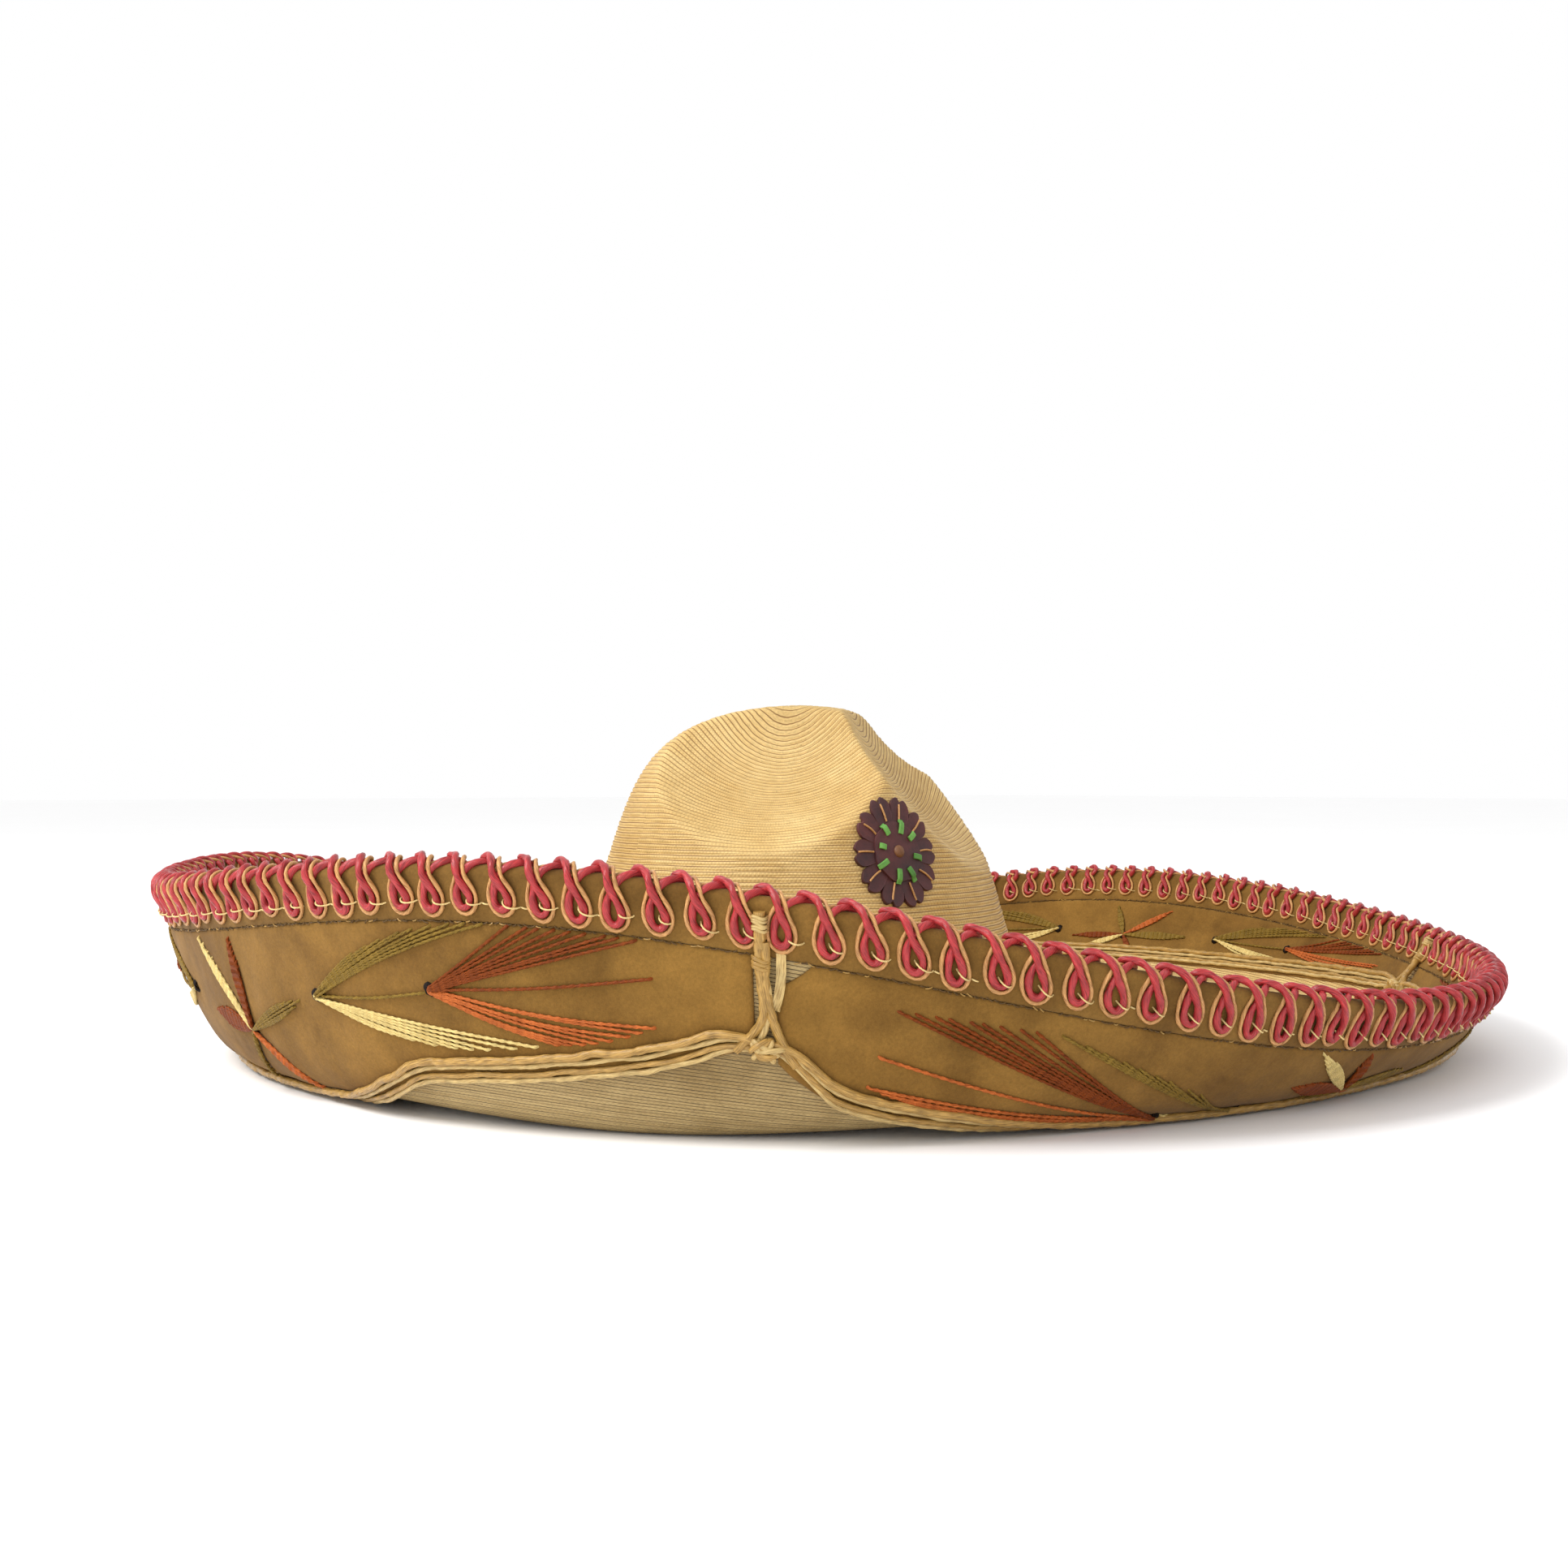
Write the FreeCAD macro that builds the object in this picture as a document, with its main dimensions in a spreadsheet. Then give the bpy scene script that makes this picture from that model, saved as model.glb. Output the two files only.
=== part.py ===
import FreeCAD, Part
import Sketcher
import math
import os
from bisect import bisect_left

# A charro sombrero standing on its brim, crown up.
#
# Frame: millimetres, +Z up, floor at Z = 0, origin on the floor under the brim's centre.
# The wearer faces -Y and their left side is +X. Azimuths are in degrees from -Y towards +X.
# Places on the brim are given as (azimuth, drop, rise): drop is the distance down the brim from
# the rim edge, rise is the distance from the straw's lower face towards its upper face.

doc = FreeCAD.newDocument("sombrero")
Vector = FreeCAD.Vector

# ---------------------------------------------------------------- driving dimensions
sheet = doc.addObject("Spreadsheet::Sheet", "dimensions")
DIMENSIONS = [
    # brim
    ("brim_radius", 288.0),
    ("wall_foot_radius", 250.0),
    ("wall_power", 2.56),
    ("rim_height", 56.5),
    ("front_lift", 18.4),
    ("saddle_lift", 14.0),
    ("third_wave", 8.2),
    ("fourth_wave", 5.5),
    ("foot_lift", 4.4),
    ("flat_radius", 225.0),
    ("crown_foot_height", 10.0),
    ("straw_thickness", 3.0),
    # crown
    ("crown_height", 148.0),
    ("crown_front", 116.0),
    ("crown_side", 98.5),
    ("crown_shift_side", -7.0),
    ("crown_shift_front", -12.0),
    ("crown_taper_length", 376.0),
    ("crown_round_power", 10.0),
    ("crown_fillet", 14.0),
    ("dent_radius", 110.0),
    ("dent_reach", 110.0),
    ("dent_offset", 49.0),
    ("dent_softness", 12.0),
    # sweatband
    ("sweatband_bottom", 25.0),
    ("sweatband_width", 26.0),
    ("sweatband_thickness", 1.6),
    ("sweatband_gap", 0.3),
    # rim binding and wire
    ("binding_width", 18.0),
    ("suede_thickness", 1.2),
    ("layer_gap", 0.05),
    ("wire_diameter", 2.6),
    # rim loops
    ("loop_count", 141.0),
    ("loop_drop", 11.3),
    ("pink_diameter", 2.4),
    ("pink_spread", 1.7),
    ("tan_diameter", 1.5),
    ("tan_spread", 3.6),
    ("tack_diameter", 0.8),
    ("tack_length", 4.0),
    # cords and embroidery
    ("gold_diameter", 2.2),
    ("gold_pitch", 2.6),
    ("thread_thickness", 0.7),
    ("knot_long", 6.0),
    ("knot_wide", 4.0),
    ("knot_thick", 2.6),
    # rosette
    ("rosette_radius", 22.0),
    ("petal_radius", 6.6),
    ("petal_count", 10.0),
    ("rosette_thickness", 1.4),
    ("disc_radius", 12.8),
    ("strip_start", 4.0),
    ("strip_width", 2.4),
    ("strip_length", 7.0),
    ("strip_count", 8.0),
    ("stud_radius", 2.6),
    ("stud_height", 1.6),
    ("stitch_diameter", 1.0),
    ("stitch_length", 7.0),
    ("rosette_height", 83.0),
    ("rosette_azimuth", 83.5),
]
for row, (alias, value) in enumerate(DIMENSIONS, start=1):
    sheet.set(f"A{row}", alias)
    sheet.set(f"B{row}", str(value))
    sheet.setAlias(f"B{row}", alias)
doc.recompute()
size = {alias: float(sheet.get(alias)) for alias, _ in DIMENSIONS}

STRAW = size["straw_thickness"]
SUEDE = size["suede_thickness"]
GAP = size["layer_gap"]
FRONT_LIFT_AT = -2.0
SADDLE_LIFT_AT = 3.5
THIRD_WAVE_AT = 58.0
FOURTH_WAVE_AT = 28.5
LOWER_CORNER_AT = 46.0
FOOT_AT = 37.0
UPPER_CORNER_AT = 144.0
DENTS = [(42.0, 0.0), (130.0, 0.0), (218.0, 0.0), (288.0, 7.0)]
PANEL_NAMES = ["front", "right", "back", "left"]
RING_STEPS = 72
PROFILE_STEPS = 60
CORD_SIDES = 6
LOOP_SIDES = 6
CORD_STEPS = 16


def rim_height(azimuth):
    """Height of the rim above the floor: a saddle, high at the front, low at the sides."""
    waves = [
        (1, size["front_lift"], FRONT_LIFT_AT),
        (2, size["saddle_lift"], SADDLE_LIFT_AT),
        (3, size["third_wave"], THIRD_WAVE_AT),
        (4, size["fourth_wave"], FOURTH_WAVE_AT),
    ]
    height = size["rim_height"]
    for order, lift, at in waves:
        height += lift * math.cos(order * math.radians(azimuth - at))
    return height


def foot_gap(azimuth):
    """The bare straw touches the floor in four places and clears the suede between them."""
    return size["foot_lift"] * (1 - math.cos(2 * math.radians(azimuth - FOOT_AT)) ** 6)


# ---------------------------------------------------------------- crown shape
MEAN_RADIUS = 109.0


def crown_wall(height):
    """Mean radius of the crown before its dents."""
    taper = MEAN_RADIUS * (1 - height / size["crown_taper_length"])
    fraction = min(1.0, height / size["crown_height"])
    return taper * math.sqrt(max(0.0, 1 - fraction ** size["crown_round_power"]))


def crown_profile():
    """(mean radius, height) pairs from the brim junction up to the top, outer face."""
    slope = MEAN_RADIUS / size["crown_taper_length"]
    wall_angle = math.pi / 2 - math.atan(slope)
    fillet = size["crown_fillet"]
    base = size["crown_foot_height"] + STRAW
    wall_start = base + fillet * (1 - math.cos(wall_angle))
    foot_radius = crown_wall(wall_start) + fillet * math.sin(wall_angle)
    points = []
    for step in range(6):
        turn = wall_angle * step / 6
        radius = foot_radius - fillet * math.sin(turn)
        points.append((radius, base + fillet * (1 - math.cos(turn))))
    dome_start = 112.0
    for step in range(8):
        height = wall_start + (dome_start - wall_start) * step / 8
        points.append((crown_wall(height), height))
    power = size["crown_round_power"] / 2
    first = math.asin((dome_start / size["crown_height"]) ** power)
    last = math.radians(87.0)
    for step in range(12):
        turn = first + (last - first) * step / 11
        height = size["crown_height"] * math.sin(turn) ** (1 / power)
        points.append((crown_wall(height), height))
    return points


def soft_minimum(a, b, softness):
    blend = max(softness - abs(a - b), 0.0) / softness
    return min(a, b) - blend * blend * softness / 4


RAY_START = Vector(0, 0, 50)


def dented(point):
    """Moves a crown point in towards the crown's middle where a dent sphere reaches it."""
    ray = point - RAY_START
    distance = ray.Length
    ray.normalize()
    slant = math.sqrt(0.5)
    result = distance
    for azimuth, shallower in DENTS:
        out = math.radians(azimuth)
        depth = size["dent_reach"] + shallower + size["dent_radius"]
        level = slant * (depth - size["dent_offset"])
        height = slant * (depth + size["dent_offset"])
        centre = Vector(level * math.sin(out), -level * math.cos(out), height) - RAY_START
        along = centre.dot(ray)
        inside = size["dent_radius"] ** 2 - centre.dot(centre) + along * along
        if inside <= 0 or along <= 0:
            continue
        entry = along - math.sqrt(inside)
        result = soft_minimum(result, entry, size["dent_softness"])
    return RAY_START + ray * result


def crown_point(azimuth, radius, height):
    """A point of the crown's outer face, in the crown's own frame."""
    out = math.radians(azimuth)
    across = size["crown_side"] * radius / MEAN_RADIUS
    along = size["crown_front"] * radius / MEAN_RADIUS
    plain = Vector(across * math.sin(out), -along * math.cos(out), height)
    if height < RAY_START.z:
        return plain
    return dented(plain)


def crown_grid():
    """Rows of outer points and outward normals, one row per profile point."""
    azimuths = [360.0 * step / RING_STEPS for step in range(RING_STEPS)]
    profile = crown_profile()
    outer = [[crown_point(a, r, z) for a in azimuths] for r, z in profile]
    inner = []
    last = len(profile) - 1
    for i, row in enumerate(outer):
        below = outer[max(i - 1, 0)]
        above = outer[min(i + 1, last)]
        line = []
        for j, point in enumerate(row):
            around = row[(j + 1) % RING_STEPS] - row[j - 1]
            up = above[j] - below[j]
            normal = around.cross(up)
            normal.normalize()
            line.append(point - normal * STRAW)
        inner.append(line)
    foot = size["crown_foot_height"]
    inner[0] = [Vector(p.x, p.y, foot) for p in outer[0]]
    top = size["crown_height"] - STRAW
    inner[last] = [Vector(p.x, p.y, top) for p in outer[last]]
    lid = sum(p.z for p in outer[last]) / RING_STEPS
    outer[last] = [Vector(p.x, p.y, lid) for p in outer[last]]
    return outer, inner


CROWN_SHIFT = Vector(size["crown_shift_side"], size["crown_shift_front"], 0)
JUNCTION_RADIUS = crown_profile()[0][0]


def junction_radius(azimuth):
    """Distance from the brim's axis to the line where the crown meets the brim."""
    out = math.radians(azimuth)
    a = size["crown_side"] * JUNCTION_RADIUS / MEAN_RADIUS
    b = size["crown_front"] * JUNCTION_RADIUS / MEAN_RADIUS
    ux = math.sin(out)
    uy = -math.cos(out)
    sx = CROWN_SHIFT.x
    sy = CROWN_SHIFT.y
    square = (ux / a) ** 2 + (uy / b) ** 2
    middle = ux * sx / a ** 2 + uy * sy / b ** 2
    rest = (sx / a) ** 2 + (sy / b) ** 2 - 1
    return (middle + math.sqrt(middle ** 2 - square * rest)) / square


# ---------------------------------------------------------------- brim shape
profile_cache = {}


def brim_profile(azimuth):
    """Drops, radii and heights of the straw's lower face, from the rim in to the crown."""
    key = round(azimuth % 360.0, 6)
    if key in profile_cache:
        return profile_cache[key]
    foot = size["wall_foot_radius"]
    gap = foot_gap(azimuth)
    wall = rim_height(azimuth) - gap
    inner = junction_radius(azimuth)
    radii = []
    heights = []
    for step in range(PROFILE_STEPS + 1):
        t = (1 - step / PROFILE_STEPS) ** 0.65
        radii.append(foot + (size["brim_radius"] - foot) * t)
        heights.append(gap + wall * t ** size["wall_power"])
    flat = size["flat_radius"]
    rise = size["crown_foot_height"]
    for step in range(1, PROFILE_STEPS + 1):
        radius = foot + (inner - foot) * step / PROFILE_STEPS
        lift = max(0.0, (flat - radius) / (flat - inner))
        radii.append(radius)
        heights.append(gap + (rise - gap) * (1 - math.cos(math.pi * lift)) / 2)
    drops = [0.0]
    for i in range(1, len(radii)):
        step = math.hypot(radii[i] - radii[i - 1], heights[i] - heights[i - 1])
        drops.append(drops[-1] + step)
    profile_cache[key] = (drops, radii, heights)
    return profile_cache[key]


def brim_point(azimuth, drop, rise):
    drops, radii, heights = brim_profile(azimuth)
    i = min(max(bisect_left(drops, drop), 1), len(drops) - 1)
    part = (drop - drops[i - 1]) / (drops[i] - drops[i - 1])
    radius = radii[i - 1] + part * (radii[i] - radii[i - 1])
    height = heights[i - 1] + part * (heights[i] - heights[i - 1])
    low = max(i - 2, 0)
    high = min(i + 1, len(drops) - 1)
    span = drops[high] - drops[low]
    out_slope = (radii[low] - radii[high]) / span
    up_slope = (heights[low] - heights[high]) / span
    radius -= rise * up_slope
    height += rise * out_slope
    out = math.radians(azimuth)
    return Vector(radius * math.sin(out), -radius * math.cos(out), height)


def brim_end(azimuth):
    return brim_profile(azimuth)[0][-1]


def drop_at(azimuth, depth):
    """Drop for a depth that runs from 0 at the binding's edge to 1 at the foot of the wall."""
    start = size["binding_width"] + 0.4
    foot = brim_profile(azimuth)[0][PROFILE_STEPS]
    return start + (foot - start) * depth


# ---------------------------------------------------------------- solids from skins
def closed_curve(points):
    curve = Part.BSplineCurve()
    curve.interpolate(Points=points, PeriodicFlag=True)
    return Part.Wire([curve.toShape()])


def open_curve(points):
    curve = Part.BSplineCurve()
    curve.interpolate(Points=points)
    return Part.Wire([curve.toShape()])


def solid_from(faces):
    skin = Part.makeCompound(faces)
    skin.sewShape(0.01)
    shells = skin.Shells
    solid = Part.Solid(shells[0])
    if solid.Volume < 0:
        solid.reverse()
    return solid


def loft_faces(wires):
    return Part.makeLoft(wires, False, len(wires) == 2).Faces


def ring_solid(runs):
    """A solid whose section is closed by runs of rings; each run starts on the last one's end."""
    wires = [[closed_curve(points) for points in run] for run in runs]
    faces = []
    for i, run in enumerate(wires):
        following = wires[(i + 1) % len(wires)]
        run[-1] = following[0]
        faces += loft_faces(run)
    return solid_from(faces)


def brim_ring(drop, rise):
    azimuths = [360.0 * step / RING_STEPS for step in range(RING_STEPS)]
    return [brim_point(a, drop, rise) for a in azimuths]


def patch_solid(place, across, along, low, high):
    """A sheet between two rises over a four-sided area: place(u, v) gives (azimuth, drop)."""
    skins = []
    for rise in (low, high):
        wires = []
        for i in range(along + 1):
            spots = [place(j / across, i / along) for j in range(across + 1)]
            wires.append(open_curve([brim_point(a, d, rise) for a, d in spots]))
        skins.append(Part.makeLoft(wires, False, False).Faces[0])
    faces = list(skins)
    for lower, upper in zip(skins[0].Edges, skins[1].Edges):
        faces.append(Part.makeRuledSurface(lower, upper))
    return solid_from(faces)


def polygon_ring(centre, first, second, radius, sides):
    """Corners of a regular polygon round a centre, in the plane of two unit vectors."""
    ring = []
    for step in range(sides):
        turn = 2 * math.pi * step / sides
        ring.append(centre + first * (radius * math.cos(turn)) + second * (radius * math.sin(turn)))
    return ring


def tube_solid(spots, radius):
    """A six-sided cord through (azimuth, drop, rise) spots on the brim."""
    centres = [brim_point(*spot) for spot in spots]
    rings = []
    for i, centre in enumerate(centres):
        ahead = centres[min(i + 1, len(centres) - 1)] - centres[max(i - 1, 0)]
        ahead.normalize()
        azimuth, drop, rise = spots[i]
        normal = brim_point(azimuth, drop, rise + 1) - centre
        normal = normal - ahead * normal.dot(ahead)
        normal.normalize()
        rings.append(polygon_ring(centre, normal, ahead.cross(normal), radius, CORD_SIDES))
    ridges = [open_curve([ring[side] for ring in rings]).Edges[0] for side in range(CORD_SIDES)]
    faces = []
    for side in range(CORD_SIDES):
        faces.append(Part.makeRuledSurface(ridges[side - 1], ridges[side]))
    for ring in (rings[0], rings[-1]):
        faces.append(Part.Face(Part.makePolygon(ring + [ring[0]])))
    return solid_from(faces)


def add_feature(label, shape, shift=Vector(0, 0, 0)):
    feature = doc.addObject("Part::Feature", label)
    feature.Label = label
    feature.Shape = shape
    feature.Placement = FreeCAD.Placement(shift, FreeCAD.Rotation())
    nodes.append(feature)
    return feature


nodes = []


# ---------------------------------------------------------------- straw body
def make_crown():
    outer, inner = crown_grid()
    outer_wires = [closed_curve(row) for row in outer]
    inner_wires = [closed_curve(row) for row in inner]
    faces = loft_faces(outer_wires) + loft_faces(inner_wires)
    faces += loft_faces([inner_wires[0], outer_wires[0]])
    faces.append(Part.Face(outer_wires[-1]))
    faces.append(Part.Face(inner_wires[-1]))
    add_feature("crown_straw", solid_from(faces), CROWN_SHIFT)


STRAW_EDGE = 5.0
STRAW_ROWS = 26


def make_brim():
    """Even rows of rings from the straw's cut edge in to the crown junction."""
    def row_ring(fraction, rise):
        ring = []
        for step in range(RING_STEPS):
            azimuth = 360.0 * step / RING_STEPS
            drop = STRAW_EDGE + (brim_end(azimuth) - STRAW_EDGE) * fraction
            ring.append(brim_point(azimuth, drop, rise))
        return ring

    fractions = [row / STRAW_ROWS for row in range(STRAW_ROWS + 1)]
    lower = [row_ring(f, 0) for f in fractions]
    upper = [row_ring(f, STRAW) for f in reversed(fractions)]
    shape = ring_solid([lower, [lower[-1], upper[0]], upper, [upper[-1], lower[0]]])
    add_feature("brim_straw", shape)


def make_edge_wire():
    """A round spring wire inside the fold of the binding."""
    radius = size["wire_diameter"] / 2
    middle = STRAW_EDGE - radius - 2 * GAP
    rings = []
    for step in range(9):
        turn = math.pi * step / 4
        drop = middle + radius * math.cos(turn)
        rings.append(brim_ring(drop, STRAW / 2 + radius * math.sin(turn)))
    shape = ring_solid([rings[:5], rings[4:]])
    add_feature("edge_wire", shape)


def make_binding():
    """A folded suede strip over the rim: outer skin, lip, inner skin, lip."""
    width = size["binding_width"]
    outer = STRAW / 2 + GAP + SUEDE
    inner = STRAW / 2 + GAP

    def half_turn(radius, centre, back):
        rings = []
        for step in range(7):
            turn = math.pi * step / 6 - math.pi / 2
            drop = centre - radius * math.cos(turn)
            rings.append(brim_ring(drop, STRAW / 2 + radius * math.sin(turn)))
        return rings[::-1] if back else rings

    def side(start, stop, rise):
        return [brim_ring(start + (stop - start) * step / 4, rise) for step in range(5)]

    low = STRAW / 2
    runs = [
        side(width, outer, low - outer),
        half_turn(outer, outer, False),
        side(outer, width, low + outer),
        [brim_ring(width, low + outer), brim_ring(width, low + inner)],
        side(width, outer, low + inner),
        half_turn(inner, outer, True),
        side(outer, width, low - inner),
        [brim_ring(width, low - inner), brim_ring(width, low - outer)],
    ]
    add_feature("edge_binding", ring_solid(runs))


# ---------------------------------------------------------------- sweatband
def make_sweatband():
    """A tapered leather band inside the crown, lofted between two ellipses and hollowed."""
    body = doc.addObject("PartDesign::Body", "sweatband")
    body.Label = "sweatband"
    plane = [f for f in body.Origin.OriginFeatures if f.Role == "XY_Plane"][0]

    def ellipse(name, level, inset):
        sketch = body.newObject("Sketcher::SketchObject", name)
        sketch.AttachmentSupport = [(plane, "")]
        sketch.MapMode = "FlatFace"
        sketch.setExpression("AttachmentOffset.Base.z", level)
        reach = f"(1 - ({level}) / dimensions.crown_taper_length)"
        lining = f"(dimensions.straw_thickness * 1.08 + dimensions.sweatband_gap + {inset})"
        # a rough ellipse, long side front to back; the constraints below give its real size
        shape = Part.Ellipse(Vector(0, -100, 0), Vector(85, 0, 0), Vector(0, 0, 0))
        sketch.addGeometry(shape, False)
        sketch.exposeInternalGeometry(0)
        sketch.addConstraint(Sketcher.Constraint("Coincident", 0, 3, -1, 1))
        sketch.addConstraint(Sketcher.Constraint("PointOnObject", 1, 1, -2))
        long_size = sketch.addConstraint(Sketcher.Constraint("Distance", 1, 200.0))
        wide_size = sketch.addConstraint(Sketcher.Constraint("Distance", 2, 170.0))
        length = f"2 * (dimensions.crown_front * {reach} - {lining}) * 1 mm"
        width = f"2 * (dimensions.crown_side * {reach} - {lining}) * 1 mm"
        sketch.setExpression(f"Constraints[{long_size}]", length)
        sketch.setExpression(f"Constraints[{wide_size}]", width)
        return sketch

    bottom = "dimensions.sweatband_bottom"
    top = "dimensions.sweatband_bottom + dimensions.sweatband_width"
    outer = [ellipse("band_outer_bottom", bottom, "0"), ellipse("band_outer_top", top, "0")]
    skin = "dimensions.sweatband_thickness"
    inner = [ellipse("band_inner_bottom", bottom, skin), ellipse("band_inner_top", top, skin)]
    doc.recompute()
    block = body.newObject("PartDesign::AdditiveLoft", "band_block")
    block.Profile = outer[0]
    block.Sections = [outer[1]]
    doc.recompute()
    solid_volume = body.Shape.Volume
    hollow = body.newObject("PartDesign::SubtractiveLoft", "band_hollow")
    hollow.Profile = inner[0]
    hollow.Sections = [inner[1]]
    body.Tip = hollow
    doc.recompute()
    if not 0 < body.Shape.Volume < 0.2 * solid_volume:
        raise RuntimeError("the sweatband is not hollow")
    body.Placement = FreeCAD.Placement(CROWN_SHIFT, FreeCAD.Rotation())
    nodes.append(body)


# ---------------------------------------------------------------- suede panels
LOWER_EDGE = [
    (-45, 0.42), (-43.5, 0.53), (-42, 0.61), (-40, 0.70), (-37, 0.76), (-33.5, 0.82),
    (-30, 0.88), (-25, 0.97), (-20, 1.02), (3, 1.02), (10, 0.97), (16, 0.82),
    (19.5, 0.71), (29.5, 0.64), (37.8, 0.55), (43.2, 0.43), (45, 0.42),
]


def lower_edge(turn):
    """Depth of an underside panel's inner edge, by azimuth from the panel's middle."""
    for (turn0, depth0), (turn1, depth1) in zip(LOWER_EDGE, LOWER_EDGE[1:]):
        if turn <= turn1:
            return depth0 + (depth1 - depth0) * (turn - turn0) / (turn1 - turn0)
    return LOWER_EDGE[-1][1]


def upper_edge(turn):
    """Depth of a topside panel's inner edge: one even bay from corner to corner."""
    return 0.72 - 0.30 * (turn / 45) ** 2


FACES = {
    "underside": {"corner": LOWER_CORNER_AT, "edge": lower_edge, "skin": -GAP, "out": -1},
    "topside": {"corner": UPPER_CORNER_AT, "edge": upper_edge, "skin": STRAW + GAP, "out": 1},
}
PANEL_HALF = 44.3
CORD_HALF = 42.5


def panel_middles(face):
    """(name, middle azimuth) of the four panels of one face of the brim."""
    first = face["corner"] - 45.0 - 90.0 * round((face["corner"] - 45.0) / 90.0)
    return [(name, first + 90.0 * i) for i, name in enumerate(PANEL_NAMES)]


def rise_on(face, layer):
    """Rise of a layer that lies a given distance above the bare straw of that face."""
    return face["skin"] + face["out"] * layer


def make_panels(face_name):
    face = FACES[face_name]
    for name, middle in panel_middles(face):
        def place(u, v):
            turn = PANEL_HALF * (2 * u - 1)
            return middle + turn, drop_at(middle + turn, face["edge"](turn) * v)

        low, high = sorted((rise_on(face, 0), rise_on(face, SUEDE)))
        add_feature(f"{face_name}_panel_{name}", patch_solid(place, 30, 8, low, high))


def make_border_cords(face_name):
    """Four gold cords side by side along each panel's inner edge."""
    face = FACES[face_name]
    radius = size["gold_diameter"] / 2
    rise = rise_on(face, SUEDE + GAP + radius)
    for name, middle in panel_middles(face):
        cords = []
        for lane in range(4):
            inset = radius + 0.8 + size["gold_pitch"] * lane
            spots = []
            for step in range(CORD_STEPS + 1):
                turn = CORD_HALF * (2 * step / CORD_STEPS - 1)
                drop = drop_at(middle + turn, face["edge"](turn)) - inset
                spots.append((middle + turn, drop, rise))
            cords.append(tube_solid(spots, radius))
        add_feature(f"{face_name}_cords_{name}", Part.makeCompound(cords))


def make_corner_cords(face_name):
    """Three gold cords side by side from each corner knot up to the binding."""
    face = FACES[face_name]
    radius = size["gold_diameter"] / 2
    rise = rise_on(face, radius + GAP + SUEDE)
    start = size["binding_width"] + 1.0
    cords = []
    for corner in range(4):
        azimuth = face["corner"] + 90.0 * corner
        end = drop_at(azimuth, face["edge"](45.0)) - 10.5
        for lane in (-1, 0, 1):
            turn = lane * math.degrees(size["gold_pitch"] / size["brim_radius"])
            spots = [(azimuth + turn, start + (end - start) * step / 3, rise) for step in range(4)]
            cords.append(tube_solid(spots, radius))
    add_feature(f"{face_name}_corner_cords", Part.makeCompound(cords))


def make_knots(face_name):
    """A flattened wrapped knot where the cords meet at each corner."""
    face = FACES[face_name]
    knots = []
    for corner in range(4):
        azimuth = face["corner"] + 90.0 * corner
        drop = drop_at(azimuth, face["edge"](45.0)) - 3.5
        layer = SUEDE + size["knot_thick"] + 2 * GAP
        centre = brim_point(azimuth, drop, rise_on(face, layer))
        outward = brim_point(azimuth, drop, rise_on(face, layer + 1)) - centre
        knot = doc.addObject("Part::Ellipsoid", f"{face_name}_knot_{corner}")
        knot.setExpression("Radius1", "dimensions.knot_thick * 1 mm")
        knot.setExpression("Radius2", "dimensions.knot_long * 1 mm")
        knot.setExpression("Radius3", "dimensions.knot_wide * 1 mm")
        knot.Placement = FreeCAD.Placement(centre, FreeCAD.Rotation(Vector(0, 0, 1), outward))
        knots.append(knot)
    group = doc.addObject("Part::Compound", f"{face_name}_knots")
    group.Label = f"{face_name}_knots"
    group.Links = knots
    nodes.append(group)


# ---------------------------------------------------------------- embroidery
ARC_SCALE = 5.0
WALL_SCALE = 55.0


def fan(middle, start, tips):
    """A fan of thread: narrow at start, spread along the line of tips."""
    (turn0, depth0), (turn1, depth1) = tips
    width = 0.35

    def place(u, v):
        near = (start[0] + width * (u - 0.5), start[1] + 0.02 * (u - 0.5))
        far = (turn0 + (turn1 - turn0) * u, depth0 + (depth1 - depth0) * u)
        turn = near[0] + (far[0] - near[0]) * v
        depth = near[1] + (far[1] - near[1]) * v
        return middle + turn, drop_at(middle + turn, depth)

    return place


def leaf(middle, start, tip, half_width):
    """A pointed oval of satin stitch from start to tip."""
    across = (tip[0] - start[0]) * ARC_SCALE
    down = (tip[1] - start[1]) * WALL_SCALE
    length = math.hypot(across, down)

    def place(u, v):
        run = 0.1 + 0.85 * v
        bulge = half_width * math.sin(math.pi * (0.08 + 0.84 * v)) * (2 * u - 1)
        turn = start[0] + (tip[0] - start[0]) * run + bulge * down / length / ARC_SCALE
        depth = start[1] + (tip[1] - start[1]) * run - bulge * across / length / WALL_SCALE
        return middle + turn, drop_at(middle + turn, depth)

    return place


def mirrored(fans):
    """The same fans turned over the panel's middle line."""
    return [((-s[0], s[1]), ((-a[0], a[1]), (-b[0], b[1]))) for s, (a, b) in fans]


HIGH_FANS = [
    ((22, 0.29), ((28, 0.05), (37, 0.05))),
    ((22, 0.29), ((38, 0.33), (32, 0.45))),
    ((11, 0.32), ((15, 0.14), (27, 0.05))),
    ((11, 0.32), ((16, 0.45), (28, 0.50))),
]
LOW_FANS = [
    ((-17, 0.80), ((-37, 0.15), (-27, 0.12))),
    ((-17, 0.80), ((-39, 0.45), (-34, 0.66))),
    ((-9, 0.84), ((-27, 0.22), (-14, 0.45))),
]
LOWER_LEAVES = [
    ((0, 0.49), (-6, 0.06), 3.0),
    ((0, 0.49), (0.5, 0.06), 3.6),
    ((0, 0.49), (-8, 0.47), 3.0),
    ((0, 0.49), (8.5, 0.37), 2.6),
    ((0, 0.49), (4, 0.78), 2.8),
    ((0, 0.49), (-4, 0.78), 2.8),
]
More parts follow.
